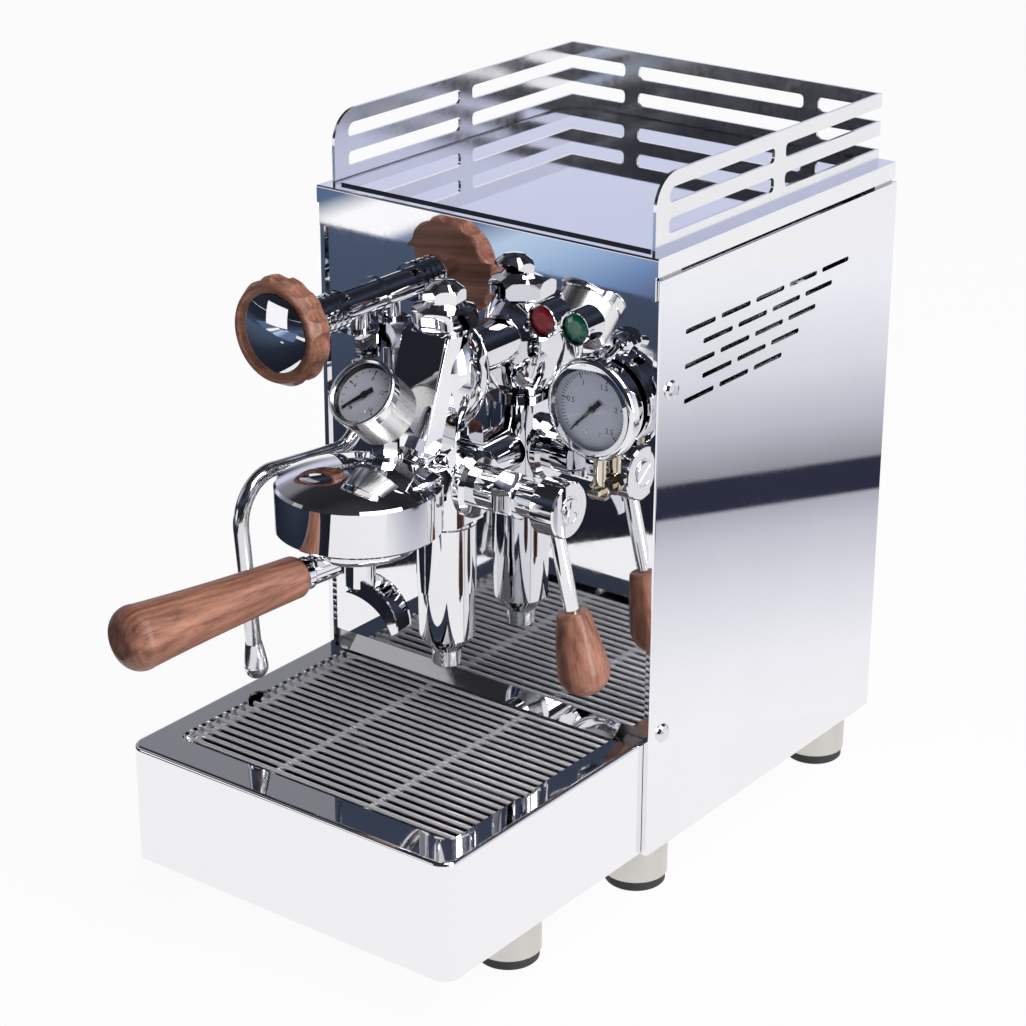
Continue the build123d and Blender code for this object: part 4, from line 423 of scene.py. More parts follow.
# %% Gauge glass
gauge_glass, tree, shader, place = new_material("gauge_glass")
set_up(shader, Base_Color=(1, 1, 1, 1), Transmission_Weight=1.0, IOR=1.2)
glass_haze = add(tree, "Group", node_tree=polish, Low=0.0, High=0.02)
link(place, "Object", glass_haze, "Vector")
link(glass_haze, "Roughness", shader, "Roughness")
print("made", gauge_glass.name)

# %% [markdown]
# ## Give every solid its finish
# Each part's own place in the record names its slot; the table below says which finish that slot
# gets. Wood is set part by part, because its grain has a direction. The rail keeps the soft grain of
# rolled sheet, where the panels below it are buffed to a mirror, and the grate that of drawn wire.

# %% Paint the solids
finish_of_slot = {
    "mirror_steel": mirror_sheet,
    "chrome": chrome_plate,
    "stainless_steel": bright_steel,
    "satin_steel": satin_steel,
    "walnut": handle_walnut,
    "black_rubber": black_rubber,
    "brass": turned_brass,
    "dial_white": dial_silver,
    "needle_black": needle_black,
    "clear_glass": gauge_glass,
    "red_lens": red_lens,
    "green_lens": green_lens,
    "black_plastic": black_plastic,
    "tank_plastic": tank_plastic,
}
own_finish = {
    "lever_knob": knob_walnut,
    "steam_knob_ring": ring_walnut,
    "group_gauge_dial": dial_pale,
    "cup_rail": rolled_steel,
    "drip_grate": drawn_wire,
}
for part in frame["record"]["subparts"]:
    name = part.get("node") or part["name"]
    paint(nodes[name], own_finish.get(name, finish_of_slot[part["material_slot"]]))
print("painted", len(nodes), "solids")

# %% [markdown]
# ## Printing on the gauge dials
# A gauge face carries a scale of fine strokes round three quarters of a circle, with plain numbers
# inside it. Print could be an image, but strokes in relief, a few hundredths of a millimetre high, keep
# a sharp edge at any distance. One stroke is a cube made long and thin in edit mode and narrowed at its
# inner end. Spin, with its copy option, then repeats it round the dial.

# %% Scale strokes
PRINT = 0.06 * MM
SCALE_SWEEP = math.radians(270)
ZERO_ANGLE = math.radians(225)
STROKE_TAPER = 0.6


def stroke_ring(inner, outer, width, count):
    """Strokes round a dial lying flat, clockwise from the zero of its scale."""
    clear_selection()
    bpy.ops.mesh.primitive_cube_add(size=1.0)
    piece = bpy.context.object
    edit(piece)
    bpy.ops.transform.resize(value=(outer - inner, width, PRINT))
    bpy.ops.transform.translate(value=((outer + inner) / 2, 0, PRINT / 2))
    pick_faces(piece, lambda centre, normal: normal.x < -FACING)
    bpy.ops.transform.resize(value=(1, STROKE_TAPER, 1))
    bpy.ops.mesh.select_all(action="SELECT")
    bpy.ops.mesh.spin(steps=count - 1, dupli=True, angle=SCALE_SWEEP, center=(0, 0, 0), axis=(0, 0, 1))
    bpy.ops.mesh.select_all(action="SELECT")
    bpy.ops.mesh.normals_make_consistent(inside=False)
    bpy.ops.object.mode_set(mode="OBJECT")
    piece.data.transform(Matrix.Rotation(ZERO_ANGLE, 4, "Z"))
    return piece


print("strokes span", round(math.degrees(SCALE_SWEEP)), "degrees")

# %% [markdown]
# Numbers start as text objects. A text is turned into a mesh as soon as it has its thickness, so that it
# can be moved to its place on the dial and joined with the strokes into one piece of print.

# %% Numbers and the whole scale
DIAL_THICK = 1.2 * MM
GROUP_LEAN = math.radians(42)


def number(text, height, angle, radius):
    """One upright number, centred at an angle and a radius of a dial that lies flat."""
    clear_selection()
    bpy.ops.object.text_add()
    piece = bpy.context.object
    piece.data.body = text
    piece.data.size = height
    piece.data.align_x = "CENTER"
    piece.data.align_y = "CENTER"
    piece.data.extrude = PRINT / 2
    piece.data.resolution_u = 3
    bpy.ops.object.convert(target="MESH")
    piece = bpy.context.object
    spot = (radius * math.cos(angle), radius * math.sin(angle), PRINT / 2)
    piece.data.transform(Matrix.Translation(spot))
    return piece


def dial_scale(labels, tall, label_radius, rings):
    """The print of one dial: rings of strokes, and numbers spread evenly over the same sweep."""
    pieces = [stroke_ring(*ring) for ring in rings]
    for index, text in enumerate(labels):
        angle = ZERO_ANGLE - SCALE_SWEEP * index / (len(labels) - 1)
        pieces.append(number(text, tall, angle, label_radius))
    clear_selection()
    for piece in pieces:
        piece.select_set(True)
    bpy.context.view_layer.objects.active = pieces[0]
    bpy.ops.object.join()
    return bpy.context.object


def dial_place(node, lean):
    """The frame of a dial's face: Z points out of the face, which leans back by an angle."""
    turn = Matrix.Rotation(math.radians(90) - lean, 4, "X")
    face = middle(node) + turn.to_3x3() @ Vector((0, 0, DIAL_THICK / 2))
    return Matrix.Translation(face) @ turn


boiler_face = dial_place("boiler_gauge_dial", 0.0)
group_face = dial_place("group_gauge_dial", GROUP_LEAN)
for face in (boiler_face, group_face):
    print("dial face at", [round(v, 4) for v in face.translation])

# %% [markdown]
# The boiler gauge counts from 0 to 2.5 in steps of a half, with ten fine strokes to each step. The small
# gauge on the group counts from 0 to 16. A ring of strokes is given by its inner and outer radius, the
# width of a stroke and the number of strokes.

# %% Print both dials
boiler_print = dial_scale(
    labels=["0", "0.5", "1", "1.5", "2", "2.5"], tall=4.8 * MM, label_radius=16.0 * MM,
    rings=[(18.8 * MM, 22.6 * MM, 0.95 * MM, 6), (20.2 * MM, 22.6 * MM, 0.50 * MM, 51)],
)
seat(boiler_print, boiler_face)
settle(boiler_print, "boiler_dial_print", "machine", ink_black)
group_print = dial_scale(
    labels=["0", "4", "8", "12", "16"], tall=3.8 * MM, label_radius=10.5 * MM,
    rings=[(12.6 * MM, 15.6 * MM, 1.0 * MM, 5), (14.0 * MM, 15.6 * MM, 0.52 * MM, 17)],
)
seat(group_print, group_face)
settle(group_print, "group_dial_print", "machine", ink_black)
print("print faces", len(boiler_print.data.polygons), len(group_print.data.polygons))

# %% [markdown]
# ## Steps that turned pieces share
# The rings, screws and plugs below all start as a flat disc that is open in edit mode with its top
# selected. They also share a bevel modifier, which rounds the sharp edges, and a boolean modifier, which
# cuts the shape of one piece out of another. Both are applied at once, and the cutting piece is removed.

# %% Disc, rounded edges and cut


def flat_disc(radius, height, sides):
    """A disc standing on the XY plane, open in edit mode with its top selected."""
    clear_selection()
    centre = (0, 0, height / 2)
    bpy.ops.mesh.primitive_cylinder_add(vertices=sides, radius=radius, depth=height, location=centre)
    piece = bpy.context.object
    bpy.ops.object.transform_apply(location=True)
    edit(piece)
    pick_faces(piece, looks_up)
    return piece


def round_edges(piece, width, segments, angle):
    """Bevels the edges that turn by more than an angle in degrees."""
    edge = piece.modifiers.new("edge", "BEVEL")
    edge.width = width
    edge.segments = segments
    edge.angle_limit = math.radians(angle)
    bpy.ops.object.modifier_apply(modifier=edge.name)


def cut_away(piece, tool):
    """Cuts the shape of the tool out of the piece."""
    select(piece)
    cut = piece.modifiers.new("cut", "BOOLEAN")
    cut.object = tool
    cut.solver = "EXACT"
    bpy.ops.object.modifier_apply(modifier=cut.name)
    bpy.data.objects.remove(tool)


print("turning steps ready")

# %% [markdown]
# ## The rings of the small gauge
# The dial of the small gauge lies sunk behind a wide grey bezel, and the wall down to it is painted black
# as painted shade, the shadow inside the bezel. Both are rings with a sloping inside. The top of a disc is
# inset once for the flat edge and once more with a depth, which draws the slope. Bridging the floor of that
# cup with the underside then opens the middle, and the edges that a finger can touch are rounded.

# %% Gauge rings
RING_SIDES = 96


def sloping_ring(outer, top, foot, height, rounding):
    """A ring standing on the XY plane, whose inside narrows from top to foot."""
    piece = flat_disc(outer, height, RING_SIDES)
    bpy.ops.mesh.inset(thickness=outer - top, depth=0)
    bpy.ops.mesh.inset(thickness=top - foot, depth=PRINT - height)
    pick_faces(piece, lambda centre, normal: abs(normal.z) > FACING and centre.xy.length < foot / 2)
    bpy.ops.mesh.bridge_edge_loops()
    bpy.ops.object.mode_set(mode="OBJECT")
    round_edges(piece, rounding, segments=3, angle=35)
    bpy.ops.object.shade_smooth_by_angle(angle=math.radians(30))
    return piece


dial_axis = group_face.to_3x3() @ Vector((0, 0, 1))
case_points = [v.co for v in nodes["group_gauge_case"].data.vertices]
rim = max((point - group_face.translation).dot(dial_axis) for point in case_points)
# The inner ring is black only as painted shade, for the shadow that the bezel casts round the dial.
dial_shade_ring = sloping_ring(
    outer=19.2 * MM, top=18.4 * MM, foot=16.9 * MM, height=2.0 * MM, rounding=0.1 * MM
)
seat(dial_shade_ring, group_face)
settle(dial_shade_ring, "group_dial_ring", "machine", needle_black)
bezel = sloping_ring(
    outer=20.6 * MM, top=19.2 * MM, foot=17.7 * MM, height=1.0 * MM, rounding=0.4 * MM
)
seat(bezel, group_face @ Matrix.Translation((0, 0, rim)))
settle(bezel, "group_gauge_bezel", "machine", rolled_steel)
print("bezel stands", round(rim / MM, 2), "mm in front of the dial")

# %% [markdown]
# ## Screws with a slot
# Two tiny brass screws hold each dial, and a large plated screw closes the lever hub. All are the same
# thing at different sizes: a turned head with a rounded edge and one sawn slot. The top of a disc is
# inset and lifted into a low crown, its edge is bevelled, and a thin box saws the slot.

# %% Slotted heads
HEAD_SIDES = 48
HEAD_EDGE = 0.22
HEAD_CROWN = 0.18
HEAD_ROUNDING = 0.06


def slotted_head(radius, height, slot_width, slot_depth):
    """A screw head standing on the XY plane, with its slot along X."""
    piece = flat_disc(radius, height, HEAD_SIDES)
    bpy.ops.mesh.inset(thickness=radius * HEAD_EDGE, depth=0)
    bpy.ops.transform.translate(value=(0, 0, height * HEAD_CROWN))
    bpy.ops.object.mode_set(mode="OBJECT")
    round_edges(piece, radius * HEAD_ROUNDING, segments=2, angle=50)
    clear_selection()
    bpy.ops.mesh.primitive_cube_add(size=1.0, location=(0, 0, height * (1 + HEAD_CROWN)))
    saw = bpy.context.object
    saw.scale = (radius * 3, slot_width, slot_depth * 2)
    cut_away(piece, saw)
    bpy.ops.object.shade_smooth_by_angle(angle=math.radians(35))
    return piece


def copy_of(piece):
    twin = piece.copy()
    twin.data = piece.data.copy()
    scene.collection.objects.link(twin)
    return twin


print("a slotted head has", HEAD_SIDES, "sides")

# %% [markdown]
# The dial screws sit low on each face, one either side of the middle line, with their slots at odd
# angles, as an assembler leaves them.

# %% Dial screws
DIAL_SCREW_HEIGHT = 0.5 * MM
DIAL_SLOT_DEPTH = 0.25 * MM
DIAL_SLOT_SHARE = 0.4
LEFT_SLOT_TURN = 0.5
RIGHT_SLOT_TURN = 1.9
for name, face, apart, low, radius in (
    ("boiler_dial_screw", boiler_face, 4.9 * MM, -14.4 * MM, 1.3 * MM),
    ("group_dial_screw", group_face, 5.2 * MM, -9.0 * MM, 1.0 * MM),
):
    left = slotted_head(radius, DIAL_SCREW_HEIGHT, radius * DIAL_SLOT_SHARE, DIAL_SLOT_DEPTH)
    right = copy_of(left)
    for piece, ending, x, turn in (
        (left, "_left", -apart, LEFT_SLOT_TURN),
        (right, "_right", apart, RIGHT_SLOT_TURN),
    ):
        spot = Matrix.Translation((x, low, 0)) @ Matrix.Rotation(turn, 4, "Z")
        clear_selection()
        seat(piece, face @ spot)
        settle(piece, name + ending, "machine", turned_brass)

# %% [markdown]
# The lever hub is a plain cap with a shallow round seat in its end. The seat is a ring: a disc inset
# twice, with the inner face pushed down. The screw then stands in it with its slot on the slant.

# %% Lever hub screw
HUB_SEAT_SIDES = 64
HUB_SEAT_RADIUS = 8.9 * MM
HUB_SEAT_THICK = 0.5 * MM
HUB_SEAT_EDGE = 0.5 * MM
HUB_SEAT_SLOPE = 0.25 * MM
HUB_SEAT_SUNK = 0.3 * MM
HUB_SLOT_TURN = math.radians(52)
hub_middle = middle("lever_hub")
hub_end_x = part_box("lever_hub")[1].x
hub_place = Matrix.Translation((hub_end_x, hub_middle.y, hub_middle.z))
hub_end = hub_place @ Matrix.Rotation(math.radians(90), 4, "Y")
clear_selection()
bpy.ops.mesh.primitive_cylinder_add(vertices=HUB_SEAT_SIDES, radius=HUB_SEAT_RADIUS, depth=HUB_SEAT_THICK)
hub_seat = bpy.context.object
edit(hub_seat)
pick_faces(hub_seat, looks_up)
bpy.ops.mesh.inset(thickness=HUB_SEAT_EDGE, depth=0)
bpy.ops.mesh.inset(thickness=HUB_SEAT_SLOPE, depth=-HUB_SEAT_SUNK)
bpy.ops.object.mode_set(mode="OBJECT")
bpy.ops.object.shade_smooth_by_angle(angle=math.radians(30))
seat(hub_seat, hub_end)
settle(hub_seat, "lever_hub_seat", "brew_lever", chrome_plate)
hub_screw = slotted_head(radius=7.4 * MM, height=1.0 * MM, slot_width=1.7 * MM, slot_depth=0.8 * MM)
seat(hub_screw, hub_end @ Matrix.Rotation(HUB_SLOT_TURN, 4, "Z"))
settle(hub_screw, "lever_hub_screw", "brew_lever", chrome_plate)
print("hub screw at", [round(v, 4) for v in hub_end.translation])

# %% [markdown]
# ## Plugs with a hex socket
# The bores drilled through the group are closed by screwed plugs: a round head with a bevelled edge and
# a six-sided socket for the key. The socket could be inset by hand, but cutting a six-sided bar away
# gives clean walls. Its walls and floor get a second, black material: painted shade for the shade deep
# in the socket.

# %% Socket plugs
PLUG_SIDES = 64
PLUG_RADIUS = 10.0 * MM
PLUG_HEIGHT = 3.0 * MM
PLUG_ACROSS = 15.0 * MM
PLUG_ROUNDING = 0.3
SOCKET_DEPTH = 0.9
SOCKET_REACH = 0.56
SOCKET_TOP = 0.98


def socket_plug():
    """A round plug standing on the XY plane, with a hex socket in its top."""
    piece = flat_disc(PLUG_RADIUS, PLUG_HEIGHT, PLUG_SIDES)
    bpy.ops.mesh.bevel(offset=PLUG_HEIGHT * PLUG_ROUNDING, segments=3, affect="EDGES")
    clear_selection()
    corner = PLUG_ACROSS / math.sqrt(3)
    depth = PLUG_HEIGHT * SOCKET_DEPTH
    top = (0, 0, PLUG_HEIGHT)
    bpy.ops.mesh.primitive_cylinder_add(vertices=6, radius=corner, depth=depth * 2, location=top)
    cut_away(piece, bpy.context.object)
    bpy.ops.object.shade_smooth_by_angle(angle=math.radians(35))
    return piece


def paint_socket_shade(piece):
    """Gives the walls and floor of the socket a black second material, as painted shade."""
    piece.data.materials.append(needle_black)
    for face in piece.data.polygons:
        near_axis = face.center.xy.length < PLUG_ACROSS * SOCKET_REACH
        inside = near_axis and face.center.z < PLUG_HEIGHT * SOCKET_TOP
        face.material_index = 1 if inside and face.normal.z > -0.5 else 0


plug_x = 19.0 * MM
plug_y = case_front - 66.0 * MM
plug_z = 273.0 * MM
for side, name in ((1, "group_plug_right"), (-1, "group_plug_left")):
    plug = socket_plug()
    clear_selection()
    settle(plug, name, "machine", chrome_plate)
    paint_socket_shade(plug)
    sideways = Matrix.Rotation(math.radians(90 * side), 4, "Y")
    seat(plug, Matrix.Translation((side * plug_x, plug_y, plug_z)) @ sideways)

# %% [markdown]
# ## The flat face of the neck
# The neck of the group is cast with a flat front, ground smooth from the foot to the collar nut. The round
# housing behind it comes through a little, so a thin facing covers it. It is a plane resized to the flat,
# extruded outward and then turned a little about its foot, so that it thickens toward the top.

# %% Neck face
FACE_HALF = 15.7 * MM
FACE_BASE = 0.6 * MM
FACE_RISE = 2.2 * MM
FACE_ROUNDING = 0.3 * MM
face_foot = Vector((0, case_front - 75.5 * MM, 290.0 * MM))
face_top = Vector((0, case_front - 51.5 * MM, 355.0 * MM))
face_up = (face_top - face_foot).normalized()
face_long = (face_top - face_foot).length
face_lean = math.atan2(FACE_RISE, face_long)
clear_selection()
bpy.ops.mesh.primitive_plane_add(size=1.0)
neck_face = bpy.context.object
edit(neck_face)
bpy.ops.transform.resize(value=(2 * FACE_HALF, face_long, 1))
bpy.ops.transform.translate(value=(0, face_long / 2, 0))
bpy.ops.mesh.extrude_region_move(TRANSFORM_OT_translate={"value": (0, 0, FACE_BASE)})
bpy.ops.transform.rotate(value=-face_lean, orient_axis="X", center_override=(0, 0, FACE_BASE))
bpy.ops.mesh.select_all(action="SELECT")
bpy.ops.mesh.normals_make_consistent(inside=False)
bpy.ops.object.mode_set(mode="OBJECT")
round_edges(neck_face, FACE_ROUNDING, segments=2, angle=30)
face_right = Vector((1, 0, 0))
face_turn = Matrix((face_right, face_up, face_right.cross(face_up))).transposed().to_4x4()
seat(neck_face, Matrix.Translation(face_foot) @ face_turn)
settle(neck_face, "group_neck_face", "machine", chrome_plate)
print("the facing is", round(face_long / MM, 1), "mm long")

# %% [markdown]
# ## The case of the small gauge
# The case is spun steel with a polished bezel, and its wall keeps the fine lines of the lathe's polishing
# belt. A noise stretched along the axis draws the lines. The bezel is told from the wall by how far a
# point lies along the axis, which a Mapping node turns into a plain Z.

# %% Brushed case
BEZEL_BACK = -3.0 * MM
BEZEL_STEP = 0.2 * MM
BEZEL_ROUGHNESS = 0.03
LINE_RELIEF = 0.18


def brushed_case(name, face):
    """Satin wall behind a polished bezel; face is the frame of the dial."""
    material, tree, shader, place = new_material(name)
    set_up(shader, Metallic=1.0, Base_Color=(0.88, 0.87, 0.85, 1))
    mapping = add(tree, "Mapping", vector_type="TEXTURE")
    set_up(mapping, Location=face.translation, Rotation=face.to_euler())
    parts = add(tree, "SeparateXYZ")
    wall = add(tree, "MapRange", clamp=True)
    set_up(wall, From_Min=BEZEL_BACK + BEZEL_STEP, From_Max=BEZEL_BACK - BEZEL_STEP)
    stretch = add(tree, "Mapping", Scale=(900.0, 900.0, 14.0))
    lines = add(tree, "TexNoise", Scale=1.0, Detail=3.0, Roughness=0.6)
    satin = add(tree, "MapRange", To_Min=0.16, To_Max=0.40)
    rough = add(tree, "Mix")
    rough.inputs[NUMBER_A].default_value = BEZEL_ROUGHNESS
    strength = add(tree, "Math", operation="MULTIPLY")
    strength.inputs[1].default_value = LINE_RELIEF
    relief = add(tree, "Bump", Distance=0.2 * MM)
    link(place, "Object", mapping, "Vector")
    link(mapping, "Vector", parts, "Vector")
    link(mapping, "Vector", stretch, "Vector")
    link(stretch, "Vector", lines, "Vector")
    link(parts, "Z", wall, "Value")
    link(lines, "Fac", satin, "Value")
    link(wall, "Result", rough, MIX_FACTOR)
    link(satin, "Result", rough, NUMBER_B)
    link(rough, NUMBER_OUT, shader, "Roughness")
    link(wall, "Result", strength, 0)
    link(strength, 0, relief, "Strength")
    link(lines, "Fac", relief, "Height")
    link(relief, "Normal", shader, "Normal")
    return material


group_case = nodes["group_gauge_case"]
paint(group_case, brushed_case("brushed_case", group_face))
print("brushed", group_case.name)

# %% [markdown]
# ## The drip tray, with painted shade inside
# The tray is polished on the outside, and its pan is painted dark and dull as painted shade, the shade
# under the grate. Splitting the mesh would be one way to give it two finishes. Here a mask does it: a point
# is in the pan when it lies below the grate and well inside the outer walls, so three Map Range nodes on X,
# Y and
# Z are multiplied together.

# %% Painted shade in the pan
PAN_SHADE_MARGIN = 5.0 * MM
PAN_SHADE_EDGE = 0.2 * MM
PAN_SHADE_RISE = 1.0 * MM
PAN_SHADE_ROUGHNESS = 0.38


def stained_tray(name, low, high, level):
    """Mirror sheet outside; dull and dark inside the walls and below a level, as painted shade."""
    material, tree, shader, place = new_material(name)
    set_up(shader, Metallic=1.0)
    centre = (low + high) / 2
    shift = add(tree, "VectorMath", operation="SUBTRACT")
    shift.inputs[1].default_value = centre
    size = add(tree, "VectorMath", operation="ABSOLUTE")
    parts = add(tree, "SeparateXYZ")
    heights = add(tree, "SeparateXYZ")
    link(place, "Object", shift, 0)
    link(place, "Object", heights, "Vector")
    link(shift, "Vector", size, 0)
    link(size, "Vector", parts, "Vector")
    masks = []
    for source, axis, edge in (
        (parts, "X", high.x - centre.x - PAN_SHADE_MARGIN),
        (parts, "Y", high.y - centre.y - PAN_SHADE_MARGIN),
        (heights, "Z", level),
    ):
        step = add(tree, "MapRange", clamp=True)
        set_up(step, From_Min=edge + PAN_SHADE_EDGE, From_Max=edge - PAN_SHADE_EDGE)
        link(source, axis, step, "Value")
        masks.append(step)
    inside = masks[0]
    for mask in masks[1:]:
        both = add(tree, "Math", operation="MULTIPLY")
        link(inside, 0, both, 0)
        link(mask, 0, both, 1)
        inside = both
    group = add(tree, "Group", node_tree=polish, Low=0.015, High=0.05)
    # The second colour is painted shade: a dark tint for the shade that falls in the pan.
    tint = colour_mix(tree, (0.88, 0.88, 0.90), (0.035, 0.033, 0.033))
    rough = add(tree, "Mix")
    rough.inputs[NUMBER_B].default_value = PAN_SHADE_ROUGHNESS
    link(place, "Object", group, "Vector")
    link(inside, 0, tint, MIX_FACTOR)
    link(inside, 0, rough, MIX_FACTOR)
    link(group, "Roughness", rough, NUMBER_A)
    link(tint, COLOUR_OUT, shader, "Base Color")
    link(rough, NUMBER_OUT, shader, "Roughness")
    return material


tray_low, tray_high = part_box("drip_tray")
grate_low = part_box("drip_grate")[0]
pan_shade_level = grate_low.z + PAN_SHADE_RISE
paint(nodes["drip_tray"], stained_tray("stained_tray", tray_low, tray_high, pan_shade_level))
print("pan is dark below", round(pan_shade_level, 4))

# %% [markdown]
# ## The photo studio
# Polished steel is a mirror, so what stands round the machine decides how it looks. The machine
# stands on a white table with a bright backdrop behind it, under a dark ceiling, and with a dark
# room on its left. The floor looks white to the camera and in the steel, and still takes a shadow:
# for those rays it mostly glows, and for all others it is plain paint.

# %% Floor
FLOOR_GLOW = 0.95
scene.view_settings.view_transform = "Standard"
clear_selection()
bpy.ops.mesh.primitive_plane_add(size=30.0, location=(0, 0, 0))
floor = bpy.context.object
floor.name = "studio_floor"
floor_paint = bpy.data.materials.new("studio_floor")
floor_paint.use_nodes = True
tree = floor_paint.node_tree
flat_paint = tree.nodes["Principled BSDF"]
set_up(flat_paint, Base_Color=(0.66, 0.66, 0.67, 1), Roughness=0.9, Specular_IOR_Level=0.1)
glow = add(tree, "Emission", Strength=1.0, Color=(1, 1, 1, 1))
path = add(tree, "LightPath")
seen = add(tree, "Math", operation="MAXIMUM")
seen_too = add(tree, "Math", operation="MAXIMUM")
share = add(tree, "Math", operation="MULTIPLY")
share.inputs[1].default_value = FLOOR_GLOW
mix = add(tree, "MixShader")
link(path, "Is Camera Ray", seen, 0)
link(path, "Is Glossy Ray", seen, 1)
link(seen, 0, seen_too, 0)
link(path, "Is Transmission Ray", seen_too, 1)
link(seen_too, 0, share, 0)
link(share, 0, mix, 0)
link(flat_paint, 0, mix, 1)
link(glow, 0, mix, 2)
link(mix, 0, tree.nodes["Material Output"], "Surface")
floor.data.materials.append(floor_paint)
floor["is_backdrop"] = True
print("floor laid with", len(tree.nodes), "nodes")

# %% [markdown]
# The world plays two parts. As light it is a soft white that comes from above on the right and fades
# towards the front left, so that wood and rubber get a lit and a shaded side. In reflections it is the
# studio: behind the machine a pale lilac backdrop from the table up to about twenty degrees with a dark
# ceiling above it, and in front the dark room with a faint glow high up. The height of a direction is the
# Z of its vector, so one ramp over Z paints each half, and Y tells the halves apart.

# %% World colours
world = bpy.data.worlds.new("studio_world")
scene.world = world
world.use_nodes = True
tree = world.node_tree
backdrop = ramp(tree, [
    (0.00, (0.95, 0.95, 0.97)), (0.20, (0.72, 0.75, 0.90)), (0.29, (0.62, 0.65, 0.84)),
    (0.34, (0.36, 0.38, 0.48)), (0.42, (0.24, 0.24, 0.27)), (0.56, (0.20, 0.20, 0.22)),
    (0.64, (0.03, 0.03, 0.036)), (0.85, (0.02, 0.02, 0.024)), (1.00, (0.06, 0.06, 0.07)),
])
front_room = ramp(tree, [
    (0.00, (0.012, 0.013, 0.018)), (0.30, (0.02, 0.022, 0.03)), (0.50, (0.05, 0.065, 0.10)),
    (0.70, (0.02, 0.02, 0.024)), (1.00, (0.06, 0.06, 0.07)),
])
soft_light = ramp(tree, [(0.0, (0.03, 0.03, 0.04)), (1.0, (1.0, 1.0, 1.02))])
print("ramp stops", [len(r.color_ramp.elements) for r in (backdrop, front_room, soft_light)])

# %% [markdown]
# Map Range nodes turn the vector of a direction into masks: one for the front, and one for what lies far
# to the left and low down, where the dark room goes on. The light grows along a slanting vector. Light
# Path then picks the soft light for matt surfaces, the studio for polished ones and white for the camera.

# %% World masks and links
LIGHT_FROM = (0.88, 0.30, 0.36)
direction = add(tree, "TexCoord")
parts = add(tree, "SeparateXYZ")
frontward = add(tree, "MapRange", clamp=True, From_Min=-0.30, From_Max=-0.55)
leftward = add(tree, "MapRange", clamp=True, From_Min=-0.62, From_Max=-0.80)
low_down = add(tree, "MapRange", clamp=True, From_Min=0.22, From_Max=0.10)
dark_side = add(tree, "Math", operation="MULTIPLY")
halves = colour_mix(tree)
studio = colour_mix(tree, second=(0.02, 0.024, 0.04))
slant = add(tree, "VectorMath", operation="DOT_PRODUCT")
slant.inputs[1].default_value = LIGHT_FROM
reach = add(tree, "MapRange", clamp=True)
path = add(tree, "LightPath")
seen_glossy = colour_mix(tree)
seen_camera = colour_mix(tree, second=(0.97, 0.97, 1.0))
link(direction, "Generated", parts, "Vector")
link(parts, "Z", backdrop, "Fac")
link(parts, "Z", front_room, "Fac")
link(parts, "Y", frontward, "Value")
link(frontward, "Result", halves, MIX_FACTOR)
link(backdrop, "Color", halves, COLOUR_A)
link(front_room, "Color", halves, COLOUR_B)
link(parts, "X", leftward, "Value")
link(parts, "Z", low_down, "Value")
link(leftward, "Result", dark_side, 0)
link(low_down, "Result", dark_side, 1)
link(dark_side, 0, studio, MIX_FACTOR)
link(halves, COLOUR_OUT, studio, COLOUR_A)
link(direction, "Generated", slant, 0)
link(slant, "Value", reach, "Value")
link(reach, "Result", soft_light, "Fac")
link(path, "Is Glossy Ray", seen_glossy, MIX_FACTOR)
link(soft_light, "Color", seen_glossy, COLOUR_A)
link(studio, COLOUR_OUT, seen_glossy, COLOUR_B)
link(path, "Is Camera Ray", seen_camera, MIX_FACTOR)
link(seen_glossy, COLOUR_OUT, seen_camera, COLOUR_A)
link(seen_camera, COLOUR_OUT, tree.nodes["Background"], "Color")
print("world with", len(tree.nodes), "nodes")

# %% [markdown]
# ## Reflection cards
# Photographers lay cards round shiny things. A card here glows with its own colour, is hidden from
# the camera and throws no light, so only polished surfaces find it. Each card is a plane whose own X
# runs from -1 to 1 across it, and a ramp over that X shades it.

# %% Card maker


def card(name, centre, turn, half, stops, upright=False):
    """A glowing plane, flat or upright and turned by degrees, with a ramp across its own X."""
    clear_selection()
    bpy.ops.mesh.primitive_plane_add(size=2.0)
    piece = bpy.context.object
    piece.name = name
    piece.location = centre
    piece.rotation_euler = (math.radians(90) if upright else 0, 0, math.radians(turn))
    piece.scale = (*half, 1)
    material, tree, shader, place = new_material(name)
    tree.nodes.remove(shader)
    glow = add(tree, "Emission", Strength=1.0)
    parts = add(tree, "SeparateXYZ")
    across = add(tree, "MapRange", From_Min=-1.0)
    shade = ramp(tree, stops)
    link(place, "Object", parts, "Vector")
    link(parts, "X", across, "Value")
    link(across, "Result", shade, "Fac")
    link(shade, "Color", glow, "Color")
    link(glow, 0, tree.nodes["Material Output"], "Surface")
    piece.data.materials.append(material)
    piece.visible_camera = False
    piece.visible_diffuse = False
    piece.visible_shadow = False
    piece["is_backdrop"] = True


def table_place(turn, along, across, height):
    """A point of the table: a way along the direction turned from +X, and a way square to it."""
    angle = math.radians(turn)
    x = along * math.cos(angle) - across * math.sin(angle)
    y = along * math.sin(angle) + across * math.cos(angle)
    return (x, y + case_front, height)


print("card maker ready")

# %% [markdown]
# The right side panel sees the far edge of the table as a dark stripe between two soft greys. The front
# panel looks past the table's near left edge into the dark room. A gap in that dark leaves a strip of white
# table, and beyond it the room goes on, dark, as far as the domed caps can see.

